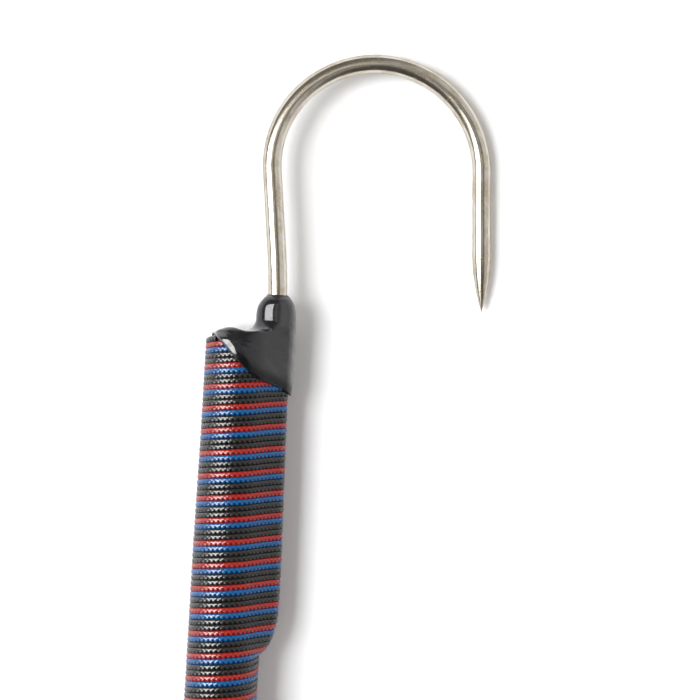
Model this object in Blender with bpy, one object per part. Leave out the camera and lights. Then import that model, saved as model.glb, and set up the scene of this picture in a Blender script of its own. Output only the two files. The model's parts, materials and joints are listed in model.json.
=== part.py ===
"""Fishing gaff lying on the ground: the butt's end face at the origin, the hook at the +Y end."""

import math

import bpy
import bmesh

MM = 0.001

# Clearances
CLEARANCE = 0.3 * MM

# Pole and the plugs in its ends
POLE_DIAMETER = 25.4 * MM
POLE_WALL = 4.0 * MM
POLE_LENGTH = 914.0 * MM
POLE_END_CHAMFER = 3.0 * MM
HEAD_PLUG_TAIL = 20.0 * MM
BUTT_PLUG_LENGTH = 45.0 * MM
PLUG_CHAMFER = 1.0 * MM

# Hook wire, from the tang in the pole round to the point
WIRE_DIAMETER = 7.94 * MM
GROOVE_DEPTH = 1.67 * MM
TANG_LENGTH = 8.0 * MM
TANG_BEND_RADIUS = 8.0 * MM
TANG_BELOW_HEAD = 126.0 * MM
NECK_RADIUS = 337.0 * MM
NECK_LEAN = math.radians(8.05)
NECK_STRAIGHT = 18.8 * MM
BEND_RADIUS = 45.1 * MM
POINT_FLARE = math.radians(3.16)
POINT_LEG = 59.8 * MM
OGIVE_LENGTH = 25.0 * MM
POINT_TIP_RADIUS = 0.15 * MM

# Lashing: four braided cords laid side by side as one right-handed helix
CORD_PITCH = 2.347 * MM
CORD_THICKNESS = 1.9 * MM
CORD_NAMES = ("lashing_red", "lashing_blue", "lashing_black_1", "lashing_black_2")
FIRST_CORD_DROP = 4.7 * MM
LASHING_TOP_DROP = 1.4 * MM
LASHING_TAIL = 51.0 * MM

# Epoxy fillets that bed the shank on the pole
BED_TOP_DROP = 3.0 * MM

# Whipping round the hook's neck, inside the boot
WHIPPING_LENGTH = 7.5 * MM
WHIPPING_THICKNESS = 2.2 * MM
WHIPPING_TURNS = 3
WHIPPING_GROOVE = 0.6 * MM

# Vinyl boot dipped over the pole's end and the hook's neck
BOOT_SKIN = 1.4 * MM
BOOT_CROWN = 1.7 * MM
BOOT_EDGE_RADIUS = 1.3 * MM
BOOT_NECK_SKIN = 1.5 * MM
BOOT_NECK_SHOULDER = 0.7 * MM
BOOT_CONE_LENGTH = 8.0 * MM
BOOT_CONE_LIP = 0.5 * MM
DIP_SHOULDER = (-9.0 * MM, 1.7 * MM)
DIP_LEFT = (-11.6 * MM, -1.9 * MM)
DIP_MIDDLE = (1.5 * MM, -13.6 * MM)
DIP_RIGHT = (22.3 * MM, -24.8 * MM)

# Shrink collar over the lashing's lower end
COLLAR_SKIN = 0.9 * MM
COLLAR_OVERLAP = 10.0 * MM
COLLAR_TAIL = 9.0 * MM
COLLAR_TAPER = 3.0 * MM

# Foam grips, their end rings and the rubber butt cap
GRIP_FOAM = 6.0 * MM
GRIP_END_FOAM = 3.5 * MM
GRIP_END_TAPER = 9.0 * MM
FORE_GRIP_LENGTH = 150.0 * MM
BUTT_GRIP_LENGTH = 280.0 * MM
RING_WALL = 2.5 * MM
RING_LENGTH = 5.0 * MM
RING_CHAMFER = 1.2 * MM
CAP_WALL = 4.0 * MM
CAP_DEPTH = 26.0 * MM
CAP_EDGE_RADIUS = 2.5 * MM
CAP_GROOVE_START = 7.0 * MM
CAP_GROOVE_DEPTH = 0.8 * MM
CAP_GROOVE_WIDTH = 2.0 * MM
CAP_GROOVE_PITCH = 5.0 * MM
CAP_GROOVES = 3

# Facets
ROUND_SIDES = 32
WIRE_SIDES = 12
BEND_STEPS = 36
OGIVE_STEPS = 7
POLE_ARC_STEPS = 10
SHANK_ARC_STEPS = 4
BOOT_FINER = 2

# Sizes that follow from the ones above
POLE_RADIUS = POLE_DIAMETER / 2
BORE_RADIUS = POLE_RADIUS - POLE_WALL
WIRE_RADIUS = WIRE_DIAMETER / 2
SHANK_OFFSET = POLE_RADIUS + WIRE_RADIUS - GROOVE_DEPTH
GRIP_BORE = POLE_RADIUS + CLEARANCE
GRIP_RADIUS = GRIP_BORE + GRIP_FOAM
POLE_BUTT_Y = CAP_WALL + CLEARANCE
HEAD_Y = POLE_BUTT_Y + POLE_LENGTH
HEAD_PLUG_LENGTH = TANG_BELOW_HEAD + WIRE_RADIUS + HEAD_PLUG_TAIL
CORD_LEAD = CORD_PITCH * len(CORD_NAMES)
LASHING_LENGTH = TANG_BELOW_HEAD + LASHING_TAIL
COLLAR_STEP_DROP = LASHING_LENGTH + CORD_PITCH
COLLAR_END_DROP = COLLAR_STEP_DROP + COLLAR_TAPER + COLLAR_TAIL
WHIPPING_RADIUS = WIRE_RADIUS + CLEARANCE + WHIPPING_THICKNESS
WHIPPING_SPACE_TOP = CLEARANCE + WHIPPING_LENGTH + CLEARANCE
BOOT_NECK_RADIUS = WHIPPING_RADIUS + CLEARANCE + BOOT_NECK_SKIN
SHOULDER_REACH = (
    SHANK_OFFSET
    - NECK_RADIUS * (1 - math.cos(NECK_LEAN))
    - NECK_STRAIGHT * math.sin(NECK_LEAN)
    + BEND_RADIUS * (math.cos(NECK_LEAN) + math.cos(POINT_FLARE))
    + (POINT_LEG - OGIVE_LENGTH) * math.sin(POINT_FLARE)
)
# The hook rolls down about the pole until its point leg rests on the grips' ground
HOOK_ROLL = math.asin((GRIP_RADIUS - WIRE_RADIUS) / SHOULDER_REACH)


def clear_scene():
    for thing in list(bpy.data.objects):
        bpy.data.objects.remove(thing)


def finish_material(name, colour, roughness, metallic=0.0):
    material = bpy.data.materials.new(name)
    material.use_nodes = True
    shader = material.node_tree.nodes["Principled BSDF"]
    shader.inputs["Base Color"].default_value = (*colour, 1.0)
    shader.inputs["Roughness"].default_value = roughness
    shader.inputs["Metallic"].default_value = metallic
    return material


def skin_rings(name, rings, material=None, parent=None, tube=False):
    """Join rings with equal numbers of points into one closed solid, capped or bent round to a tube."""
    shape = bmesh.new()
    loops = []
    for ring in rings:
        loops.append([shape.verts.new(point) for point in ring])
    following = loops[1:] + loops[:1] if tube else loops[1:]
    for loop, next_loop in zip(loops, following):
        count = len(loop)
        for here in range(count):
            beside = (here + 1) % count
            shape.faces.new((loop[here], loop[beside], next_loop[beside], next_loop[here]))
    if not tube:
        shape.faces.new(list(reversed(loops[0])))
        shape.faces.new(loops[-1])
    bmesh.ops.recalc_face_normals(shape, faces=shape.faces)
    mesh = bpy.data.meshes.new(name)
    shape.to_mesh(mesh)
    shape.free()
    mesh.shade_smooth()
    mesh.set_sharp_from_angle(angle=math.radians(35))
    if material is not None:
        mesh.materials.append(material)
    solid = bpy.data.objects.new(name, mesh)
    bpy.context.collection.objects.link(solid)
    solid.parent = parent
    return solid


def use_boolean(solid, other, operation):
    step = solid.modifiers.new(operation.lower(), "BOOLEAN")
    step.operation = operation
    step.solver = "EXACT"
    step.object = other
    other.hide_render = True
    other.display_type = "WIRE"


def round_ring(radius, y):
    """A circle round the Y axis."""
    turns = [2 * math.pi * index / ROUND_SIDES for index in range(ROUND_SIDES)]
    return [(radius * math.cos(turn), y, radius * math.sin(turn)) for turn in turns]


def clear_bore(radius):
    """The corner radius of a faceted bore whose flats lie at the radius asked for."""
    return radius / math.cos(math.pi / ROUND_SIDES)


def turned(name, profile, material, parent=None, tube=False):
    """A solid of revolution about the Y axis, from (radius, y) points."""
    rings = [round_ring(radius, y) for radius, y in profile]
    return skin_rings(name, rings, material, parent, tube)


def trace(start, heading, moves):
    """Points and headings along straights and arcs in the hook's plane; a move is length, turn, steps."""
    across, along = start
    stops = [(across, along, heading)]
    for length, turn, steps in moves:
        bend = turn / steps
        piece = length / steps
        chord = piece if bend == 0 else 2 * (piece / bend) * math.sin(bend / 2)
        for _ in range(steps):
            across += chord * math.sin(heading + bend / 2)
            along += chord * math.cos(heading + bend / 2)
            heading += bend
            stops.append((across, along, heading))
    return stops


def shank_moves():
    """The tang, its bend and the straight shank, up to the pole's end."""
    quarter = math.pi / 2
    return [
        (TANG_LENGTH, 0.0, 1),
        (TANG_BEND_RADIUS * quarter, -quarter, 8),
        (TANG_BELOW_HEAD - TANG_BEND_RADIUS, 0.0, 1),
    ]


def neck_moves():
    return [
        (NECK_RADIUS * NECK_LEAN, -NECK_LEAN, 6),
        (NECK_STRAIGHT, 0.0, 1),
    ]


def point_moves():
    sweep = math.pi + NECK_LEAN - POINT_FLARE
    return [
        (BEND_RADIUS * sweep, sweep, BEND_STEPS),
        (POINT_LEG - OGIVE_LENGTH, 0.0, 1),
        (OGIVE_LENGTH, 0.0, OGIVE_STEPS),
    ]


def tang_start():
    return (SHANK_OFFSET - TANG_BEND_RADIUS - TANG_LENGTH, -TANG_BELOW_HEAD)


def wire_ring(stop, radius):
    """A circle square to the wire's heading, in the hook's own frame."""
    across, along, heading = stop
    ring = []
    for index in range(WIRE_SIDES):
        turn = 2 * math.pi * index / WIRE_SIDES
        side = radius * math.cos(turn)
        x = across + side * math.cos(heading)
        y = along - side * math.sin(heading)
        ring.append((x, y, radius * math.sin(turn)))
    return ring


def ogive_radius(distance):
    """The ground point: a circular ogive that leaves the full wire without a corner."""
    swing = (WIRE_RADIUS ** 2 + OGIVE_LENGTH ** 2) / (2 * WIRE_RADIUS)
    return max(POINT_TIP_RADIUS, math.sqrt(swing ** 2 - distance ** 2) - swing + WIRE_RADIUS)


def make_hook(head):
    steel = finish_material("stainless_steel", (0.62, 0.58, 0.52), 0.28, 1.0)
    stops = trace(tang_start(), math.pi / 2, shank_moves() + neck_moves() + point_moves())
    full = len(stops) - OGIVE_STEPS
    radii = [WIRE_RADIUS] * full
    for step in range(1, OGIVE_STEPS + 1):
        radii.append(ogive_radius(OGIVE_LENGTH * step / OGIVE_STEPS))
    rings = [wire_ring(stop, radius) for stop, radius in zip(stops, radii)]
    return skin_rings("hook", rings, steel, head)


def make_shank_cutter(head):
    """The space that the tang, the shank and the neck take out of what holds them."""
    stops = trace(tang_start(), math.pi / 2, shank_moves() + neck_moves())
    first_across, first_along, first_heading = stops[0]
    stops[0] = (first_across - CLEARANCE, first_along, first_heading)
    reach = (WIRE_RADIUS + CLEARANCE) / math.cos(math.pi / WIRE_SIDES)
    rings = [wire_ring(stop, reach) for stop in stops]
    return skin_rings("shank_cutter", rings, None, head)


def make_pole_tube(cutter):
    fibreglass = finish_material("fibreglass", (0.03, 0.03, 0.035), 0.35)
    profile = [
        (POLE_RADIUS - POLE_END_CHAMFER, HEAD_Y),
        (POLE_RADIUS, HEAD_Y - POLE_END_CHAMFER),
        (POLE_RADIUS, POLE_BUTT_Y),
        (BORE_RADIUS, POLE_BUTT_Y),
        (BORE_RADIUS, HEAD_Y),
    ]
    tube = turned("pole_tube", profile, fibreglass, tube=True)
    use_boolean(tube, cutter, "DIFFERENCE")
    return tube


def plug_profile(low, high):
    radius = (BORE_RADIUS - CLEARANCE) * math.cos(math.pi / ROUND_SIDES)
    return [
        (radius - PLUG_CHAMFER, low),
        (radius, low + PLUG_CHAMFER),
        (radius, high - PLUG_CHAMFER),
        (radius - PLUG_CHAMFER, high),
    ]


def make_plugs(cutter):
    hardwood = finish_material("hardwood", (0.50, 0.33, 0.17), 0.6)
    head_plug = turned("head_plug", plug_profile(HEAD_Y - HEAD_PLUG_LENGTH, HEAD_Y), hardwood)
    use_boolean(head_plug, cutter, "DIFFERENCE")
    turned("butt_plug", plug_profile(POLE_BUTT_Y, POLE_BUTT_Y + BUTT_PLUG_LENGTH), hardwood)


def tangent_angle(pole_radius, shank_radius, offset):
    """The angle at which one straight line touches both the pole's circle and the shank's."""
    if offset <= pole_radius - shank_radius:
        return 0.0
    return math.acos((pole_radius - shank_radius) / offset)


def hull_radius(angle, pole_radius, shank_radius, offset):
    """How far out the band round pole and shank lies, at an angle seen from the pole's axis."""
    away = abs(math.remainder(angle, 2 * math.pi))
    lean = tangent_angle(pole_radius, shank_radius, offset)
    touch = math.atan2(shank_radius * math.sin(lean), offset + shank_radius * math.cos(lean))
    if away >= lean:
        return pole_radius
    if away >= touch:
        return pole_radius / math.cos(lean - away)
    return offset * math.cos(away) + math.sqrt(shank_radius ** 2 - (offset * math.sin(away)) ** 2)


def hull_angles(pole_radius, shank_radius, finer=1):
    """Angles for one turn of the band: close together round the shank, wider round the pole."""
    lean = tangent_angle(pole_radius, shank_radius, SHANK_OFFSET)
    shank_steps = SHANK_ARC_STEPS * finer
    pole_steps = POLE_ARC_STEPS * finer
    angles = []
    for step in range(shank_steps + 1):
        normal = lean * (2 * step / shank_steps - 1)
        touch = math.atan2(shank_radius * math.sin(normal), SHANK_OFFSET + shank_radius * math.cos(normal))
        angles.append(touch)
    straight_middle = (angles[-1] + lean) / 2
    angles.append(straight_middle)
    pole_step = (2 * math.pi - 2 * lean) / pole_steps
    angles.extend(lean + pole_step * step for step in range(pole_steps + 1))
    angles.append(2 * math.pi - straight_middle)
    return angles


def hull_ring(pole_radius, shank_radius, y, finer=1):
    ring = []
    for angle in hull_angles(pole_radius, shank_radius, finer):
        reach = hull_radius(angle, pole_radius, shank_radius, SHANK_OFFSET)
        ring.append((reach * math.cos(angle), y, reach * math.sin(angle)))
    return ring


def shank_offset_at(y):
    """The shank's distance from the pole's axis: it sinks into the pole along the tang's bend."""
    past = -TANG_BELOW_HEAD + TANG_BEND_RADIUS - y
    if past <= 0:
        return SHANK_OFFSET
    outer = TANG_BEND_RADIUS + WIRE_RADIUS
    if past >= outer:
        return 0.0
    return SHANK_OFFSET - TANG_BEND_RADIUS - WIRE_RADIUS + math.sqrt(outer ** 2 - past ** 2)


def facet_growth():
    """A ring of chords round the pole stays clear of it when its corners lie this much further out."""
    lean = tangent_angle(POLE_RADIUS, WIRE_RADIUS, SHANK_OFFSET)
    return 1 / math.cos((math.pi - lean) / POLE_ARC_STEPS)


def cord_bed(bare_radius):
    return (bare_radius + CLEARANCE) * facet_growth()


def cord_outside(bare_radius):
    return cord_bed(bare_radius) + CORD_THICKNESS


def cord_ring(angle, y):
    """A three-sided section of one cord: flat on the band that it lies on, with a ridge out."""
    offset = shank_offset_at(y + CORD_PITCH / 2)
    reach = hull_radius(angle, cord_bed(POLE_RADIUS), cord_bed(WIRE_RADIUS), offset)
    half_width = (CORD_PITCH - CLEARANCE) / 2
    ring = []
    for side, out in ((half_width, 0), (0, CORD_THICKNESS), (-half_width, 0)):
        radius = reach + out
        ring.append((radius * math.cos(angle), y + side, radius * math.sin(angle)))
    return ring


def make_cord(name, number, material, head):
    """One strand, from under the boot round and down to the collar; angles grow as it goes down."""
    left_y = -FIRST_CORD_DROP - number * CORD_PITCH
    top_angle = math.pi + 2 * math.pi * (left_y + LASHING_TOP_DROP) / CORD_LEAD
    bottom_angle = math.pi + 2 * math.pi * (left_y + LASHING_LENGTH) / CORD_LEAD
    one_turn = hull_angles(cord_bed(POLE_RADIUS), cord_bed(WIRE_RADIUS))
    angles = [top_angle]
    turn = math.floor(top_angle / (2 * math.pi))
    smallest_step = math.radians(3)
    while angles[-1] < bottom_angle:
        for stop in one_turn:
            angle = stop + 2 * math.pi * turn
            if angles[-1] + smallest_step < angle < bottom_angle - smallest_step:
                angles.append(angle)
        turn += 1
        if 2 * math.pi * turn > bottom_angle:
            angles.append(bottom_angle)
    rings = [cord_ring(angle, left_y - CORD_LEAD * (angle - math.pi) / (2 * math.pi)) for angle in angles]
    return skin_rings(name, rings, material, head)


def make_lashing(head):
    red = finish_material("red_cord", (0.62, 0.035, 0.02), 0.35)
    blue = finish_material("blue_cord", (0.01, 0.13, 0.45), 0.35)
    black = finish_material("black_cord", (0.02, 0.02, 0.022), 0.35)
    for number, (name, material) in enumerate(zip(CORD_NAMES, (red, blue, black, black))):
        make_cord(name, number, material, head)


def arc_points(centre, radius, start, end, steps):
    points = []
    for step in range(steps + 1):
        angle = start + (end - start) * step / steps
        points.append((centre + radius * math.cos(angle), radius * math.sin(angle)))
    return points


def make_bed_fillets(head):
    """The two wedges between pole, shank and lashing, one on each side of the hook's plane."""
    epoxy = finish_material("bedding_epoxy", (0.55, 0.40, 0.20), 0.4)
    pole = POLE_RADIUS + CLEARANCE
    shank = WIRE_RADIUS + CLEARANCE
    lean = tangent_angle(POLE_RADIUS, WIRE_RADIUS, SHANK_OFFSET)
    pole_end = lean - math.acos(POLE_RADIUS / pole)
    shank_end = lean + math.acos(WIRE_RADIUS / shank)
    meet = (pole ** 2 - shank ** 2 + SHANK_OFFSET ** 2) / (2 * SHANK_OFFSET)
    rise = math.sqrt(pole ** 2 - meet ** 2)
    outline = arc_points(0.0, pole, pole_end, math.atan2(rise, meet), 6)
    outline += arc_points(SHANK_OFFSET, shank, math.atan2(rise, meet - SHANK_OFFSET), shank_end, 4)[1:]
    top = -BED_TOP_DROP
    bottom = -TANG_BELOW_HEAD + TANG_BEND_RADIUS
    for name, side in (("bed_fillet_front", 1), ("bed_fillet_back", -1)):
        rings = [[(x, y, side * z) for x, z in outline] for y in (bottom, top)]
        skin_rings(name, rings, epoxy, head)


def neck_ring(radius, y):
    """A circle round the hook's neck, which leans away from the shank's line above the pole's end."""
    lean = NECK_RADIUS - math.sqrt(NECK_RADIUS ** 2 - max(y, 0.0) ** 2)
    return [(x + SHANK_OFFSET - lean, y, z) for x, y, z in round_ring(radius, y)]


def make_neck_whipping(head):
    """A few turns of cord round the neck, which give the boot its bulge."""
    twine = finish_material("whipping_twine", (0.03, 0.03, 0.03), 0.6)
    inside = clear_bore(WIRE_RADIUS + CLEARANCE)
    outside = WHIPPING_RADIUS
    low = CLEARANCE
    turn_height = WHIPPING_LENGTH / WHIPPING_TURNS
    rings = []
    for turn in range(WHIPPING_TURNS):
        foot = low + turn * turn_height
        rings.append(neck_ring(outside - WHIPPING_GROOVE, foot))
        rings.append(neck_ring(outside, foot + turn_height / 2))
    top = low + WHIPPING_LENGTH
    rings.append(neck_ring(outside - WHIPPING_GROOVE, top))
    rings.append(neck_ring(inside, top))
    rings.append(neck_ring(inside, low))
    return skin_rings("neck_whipping", rings, twine, head, tube=True)


def make_boot_cavity(head):
    """The space for the pole's end and the lashing, open below."""
    pole = cord_outside(POLE_RADIUS) + CLEARANCE
    shank = cord_outside(WIRE_RADIUS) + CLEARANCE
    bottom = 2 * DIP_RIGHT[1]
    rings = [hull_ring(pole, shank, y) for y in (bottom, CLEARANCE)]
    return skin_rings("boot_cavity", rings, None, head)


def make_whipping_cavity(head):
    radius = clear_bore(WHIPPING_RADIUS + CLEARANCE)
    rings = [neck_ring(radius, y) for y in (-CLEARANCE, WHIPPING_SPACE_TOP)]
    return skin_rings("whipping_cavity", rings, None, head)


def make_boot_neck(head):
    """The bulge over the whipping and the cone that closes on the wire."""
    lip = WIRE_RADIUS + CLEARANCE + BOOT_CONE_LIP
    cone_low = WHIPPING_SPACE_TOP + BOOT_NECK_SHOULDER
    rings = [neck_ring(BOOT_NECK_RADIUS, y) for y in (-BOOT_EDGE_RADIUS, cone_low)]
    steps = 5
    for step in range(1, steps + 1):
        share = step / steps
        fall = (1 - math.cos(share * math.pi)) / 2
        radius = BOOT_NECK_RADIUS + (lip - BOOT_NECK_RADIUS) * fall
        rings.append(neck_ring(radius, cone_low + BOOT_CONE_LENGTH * share))
    return skin_rings("boot_neck", rings, None, head)


def arc_through(first, middle, last, steps):
    """Points on the circle through three points, from the first to the last."""
    (ax, ay), (bx, by), (cx, cy) = first, middle, last
    spread = 2 * (ax * (by - cy) + bx * (cy - ay) + cx * (ay - by))
    a2 = ax * ax + ay * ay
    b2 = bx * bx + by * by
    c2 = cx * cx + cy * cy
    ox = (a2 * (by - cy) + b2 * (cy - ay) + c2 * (ay - by)) / spread
    oy = (a2 * (cx - bx) + b2 * (ax - cx) + c2 * (bx - ax)) / spread
    radius = math.hypot(ax - ox, ay - oy)
    start = math.atan2(ay - oy, ax - ox)
    end = start + math.remainder(math.atan2(cy - oy, cx - ox) - start, 2 * math.pi)
    points = []
    for step in range(steps + 1):
        angle = start + (end - start) * step / steps
        points.append((ox + radius * math.cos(angle), oy + radius * math.sin(angle)))
    return points


def make_dip_cutter(head):
    """Everything below the oblique line to which the boot was dipped."""
    dip = arc_through(DIP_LEFT, DIP_MIDDLE, DIP_RIGHT, 6)
    wide = SHANK_OFFSET + BOOT_NECK_RADIUS + POLE_RADIUS
    above = CLEARANCE + 2 * BOOT_CROWN
    right_x, right_y = dip[-1]
    before_x, before_y = dip[-2]
    fall = (right_y - before_y) / (right_x - before_x)
    outline = [(DIP_SHOULDER[0], above), DIP_SHOULDER] + dip
    outline.append((wide, right_y + fall * (wide - right_x)))
    deep = 3 * DIP_RIGHT[1]
    outline += [(wide, deep), (-wide, deep), (-wide, above)]
    rings = [[(x, y, z) for x, y in outline] for z in (-wide, wide)]
    return skin_rings("dip_cutter", rings, None, head)


def make_nose_boot(head, shank_cutter):
    vinyl = finish_material("dipped_vinyl", (0.018, 0.018, 0.02), 0.18)
    pole = cord_outside(POLE_RADIUS) + CLEARANCE + BOOT_SKIN
    shank = cord_outside(WIRE_RADIUS) + CLEARANCE + BOOT_SKIN
    crown = CLEARANCE + BOOT_CROWN
    bottom = 1.5 * DIP_RIGHT[1]
    rings = [hull_ring(pole, shank, bottom, BOOT_FINER)]
    steps = 3
    for step in range(steps + 1):
        turn = math.pi / 2 * step / steps
        inset = BOOT_EDGE_RADIUS * (1 - math.cos(turn))
        y = crown - BOOT_EDGE_RADIUS * (1 - math.sin(turn))
        rings.append(hull_ring(pole - inset, shank - inset, y, BOOT_FINER))
    boot = skin_rings("nose_boot", rings, vinyl, head)
    use_boolean(boot, make_boot_neck(head), "UNION")
    use_boolean(boot, make_boot_cavity(head), "DIFFERENCE")
    use_boolean(boot, make_whipping_cavity(head), "DIFFERENCE")
    use_boolean(boot, shank_cutter, "DIFFERENCE")
    use_boolean(boot, make_dip_cutter(head), "DIFFERENCE")
    return boot


def make_lashing_collar(head):
    """A shrunk sleeve: wide over the last turns of cord, narrow on the bare pole below them."""
    sleeve = finish_material("shrink_sleeve", (0.02, 0.02, 0.02), 0.45)
    over_cord = clear_bore(cord_outside(POLE_RADIUS) + CLEARANCE)
    over_pole = clear_bore(POLE_RADIUS + CLEARANCE)
    end = -COLLAR_STEP_DROP
    top = end + COLLAR_OVERLAP
    bottom = -COLLAR_END_DROP
    profile = [
        (over_cord, top),
        (over_cord, end),
        (over_pole, end),
        (over_pole, bottom),
        (over_pole + COLLAR_SKIN, bottom),
        (over_pole + COLLAR_SKIN, end - COLLAR_TAPER),
        (over_cord + COLLAR_SKIN, end),
        (over_cord + COLLAR_SKIN, top),
    ]
    return turned("lashing_collar", profile, sleeve, head, tube=True)


def make_grip(name, low, high, tapered_low, foam):
    end = GRIP_BORE + GRIP_END_FOAM
    profile = [(clear_bore(GRIP_BORE), high), (clear_bore(GRIP_BORE), low)]
    if tapered_low:
        profile += [(end, low), (GRIP_RADIUS, low + GRIP_END_TAPER)]
    else:
        profile += [(GRIP_RADIUS, low)]
    profile += [(GRIP_RADIUS, high - GRIP_END_TAPER), (end, high)]
    return turned(name, profile, foam, tube=True)


def make_ring(name, low, metal):
    """A trim ring on the pole that stops a grip's end."""
    outside = GRIP_BORE + RING_WALL
    high = low + RING_LENGTH
    profile = [
        (clear_bore(GRIP_BORE), high),
        (clear_bore(GRIP_BORE), low),
        (outside, low),
        (outside, high - RING_CHAMFER),
        (outside - RING_CHAMFER, high),
    ]
    return turned(name, profile, metal, tube=True)


def make_grips():
    foam = finish_material("grip_foam", (0.025, 0.025, 0.027), 0.85)
    metal = finish_material("anodised_ring", (0.08, 0.08, 0.09), 0.35, 1.0)
    butt_low = CAP_DEPTH + CLEARANCE
    butt_high = butt_low + BUTT_GRIP_LENGTH
    make_grip("butt_grip", butt_low, butt_high, False, foam)
    make_ring("butt_grip_ring", butt_high + CLEARANCE, metal)
    # The fore grip sits half way along the bare pole, between the butt grip and the lashing's collar
    fore_middle = (butt_high + HEAD_Y - COLLAR_END_DROP) / 2
    fore_low = fore_middle - FORE_GRIP_LENGTH / 2
    fore_high = fore_middle + FORE_GRIP_LENGTH / 2
    make_grip("fore_grip", fore_low, fore_high, True, foam)
    make_ring("fore_grip_ring_front", fore_high + CLEARANCE, metal)
    make_ring("fore_grip_ring_rear", fore_low - CLEARANCE - RING_LENGTH, metal)


def make_butt_cap():
    """A rubber cup on the pole's end, with a flat end face and grooves round its side."""
    rubber = finish_material("cap_rubber", (0.015, 0.015, 0.015), 0.7)
    bore = clear_bore(GRIP_BORE)
    profile = [(bore, CAP_WALL), (bore, CAP_DEPTH), (GRIP_RADIUS, CAP_DEPTH)]
    for groove in reversed(range(CAP_GROOVES)):
        middle = CAP_GROOVE_START + CAP_GROOVE_PITCH * groove
        profile.append((GRIP_RADIUS, middle + CAP_GROOVE_WIDTH / 2))
        profile.append((GRIP_RADIUS - CAP_GROOVE_DEPTH, middle))
        profile.append((GRIP_RADIUS, middle - CAP_GROOVE_WIDTH / 2))
    steps = 3
    for step in range(steps + 1):
        turn = math.pi / 2 * step / steps
        radius = GRIP_RADIUS - CAP_EDGE_RADIUS * (1 - math.cos(turn))
        profile.append((radius, CAP_EDGE_RADIUS * (1 - math.sin(turn))))
    return turned("butt_cap", profile, rubber)


def make_gaff():
    clear_scene()
    head = bpy.data.objects.new("head_frame", None)
    head.location = (0.0, HEAD_Y, 0.0)
    head.rotation_euler = (0.0, HOOK_ROLL, 0.0)
    bpy.context.collection.objects.link(head)
    shank_cutter = make_shank_cutter(head)
    make_hook(head)
    make_pole_tube(shank_cutter)
    make_plugs(shank_cutter)
    make_bed_fillets(head)
    make_lashing(head)
    make_neck_whipping(head)
    make_nose_boot(head, shank_cutter)
    make_lashing_collar(head)
    make_grips()
    make_butt_cap()


make_gaff()
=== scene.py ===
# %% [markdown]
# # A fishing gaff, dressed for its portrait
# A gaff is a big barbless hook on a pole, used to lift a tired fish over the rail. This one is a
# bent stainless wire with a ground point, lashed to a one-inch pole with four braided cords and
# capped with a dipped vinyl boot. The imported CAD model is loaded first. It fixes where everything
# is, and every piece below is made in the same frame, in metres, with the pole along +Y.

# %% Load the frame
import json
import math

import bpy
import numpy as np
from mathutils import Matrix, Vector

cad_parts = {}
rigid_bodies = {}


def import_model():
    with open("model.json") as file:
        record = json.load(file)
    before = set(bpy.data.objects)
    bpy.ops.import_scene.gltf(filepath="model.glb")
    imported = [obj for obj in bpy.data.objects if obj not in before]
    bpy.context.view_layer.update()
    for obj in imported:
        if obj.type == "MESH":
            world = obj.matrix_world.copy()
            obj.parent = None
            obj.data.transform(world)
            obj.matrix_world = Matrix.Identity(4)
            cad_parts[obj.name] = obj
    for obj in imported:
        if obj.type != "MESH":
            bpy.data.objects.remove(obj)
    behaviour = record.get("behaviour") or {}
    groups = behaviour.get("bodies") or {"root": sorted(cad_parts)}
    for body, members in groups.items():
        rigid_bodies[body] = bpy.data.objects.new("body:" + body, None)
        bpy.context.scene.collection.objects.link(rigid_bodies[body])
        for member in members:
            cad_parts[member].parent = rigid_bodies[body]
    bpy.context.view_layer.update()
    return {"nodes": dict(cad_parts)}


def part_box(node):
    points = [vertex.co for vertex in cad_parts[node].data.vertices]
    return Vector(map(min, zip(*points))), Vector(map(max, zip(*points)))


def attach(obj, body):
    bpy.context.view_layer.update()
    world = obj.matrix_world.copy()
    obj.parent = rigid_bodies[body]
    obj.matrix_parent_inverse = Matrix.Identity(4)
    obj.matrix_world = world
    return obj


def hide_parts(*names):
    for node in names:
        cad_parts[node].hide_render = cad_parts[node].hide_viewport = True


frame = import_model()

# %% [markdown]
# ## The sizes that the head is built on
# The hook, its lashing and the boot share one little frame of their own: x runs from the pole's
# axis to the shank, y runs up the pole from the pole's end, and z is the third way. That frame
# sits at the pole's end and is rolled a few degrees, because the gaff lies on its grips with the
# point leg on the same ground. The numbers repeat the CAD model's.

# %% Sizes of pole, wire and lashing
MM = 0.001
POLE_RADIUS = 12.7 * MM
POLE_WALL = 4.0 * MM
HEAD_Y = 918.3 * MM
HOOK_ROLL = math.radians(8.588)
WIRE_RADIUS = 3.97 * MM
SHANK_OFFSET = 15.0 * MM
GROUND_Z = -19.05 * MM
HEAD_PLACE = Matrix.Translation((0.0, HEAD_Y, 0.0)) @ Matrix.Rotation(HOOK_ROLL, 4, "Y")
print("the hook's plane is rolled by", round(math.degrees(HOOK_ROLL), 2), "degrees")

# %% [markdown]
# ## Small helpers for modelling as by hand
# Most pieces are made the way a person makes them in the viewport: add a primitive, go into edit
# mode, extrude, scale and spin, then bevel. An operator works on whatever is selected, so each
# piece starts with everything deselected, and each one ends with its faces turned outwards.

# %% Helpers: select, edit, finish
def deselect_all():
    for piece in bpy.context.view_layer.objects:
        piece.select_set(False)


def select_only(piece):
    """Make one object the selected and active one."""
    deselect_all()
    piece.select_set(True)
    bpy.context.view_layer.objects.active = piece


def edit_whole():
    """Enter edit mode on the active piece, with all of it selected."""
    bpy.ops.object.mode_set(mode="EDIT")
    bpy.ops.mesh.select_all(action="SELECT")


def leave_outward():
    """Turn every face outwards and leave edit mode."""
    bpy.ops.mesh.select_all(action="SELECT")
    bpy.ops.mesh.normals_make_consistent(inside=False)
    bpy.ops.object.mode_set(mode="OBJECT")


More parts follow.
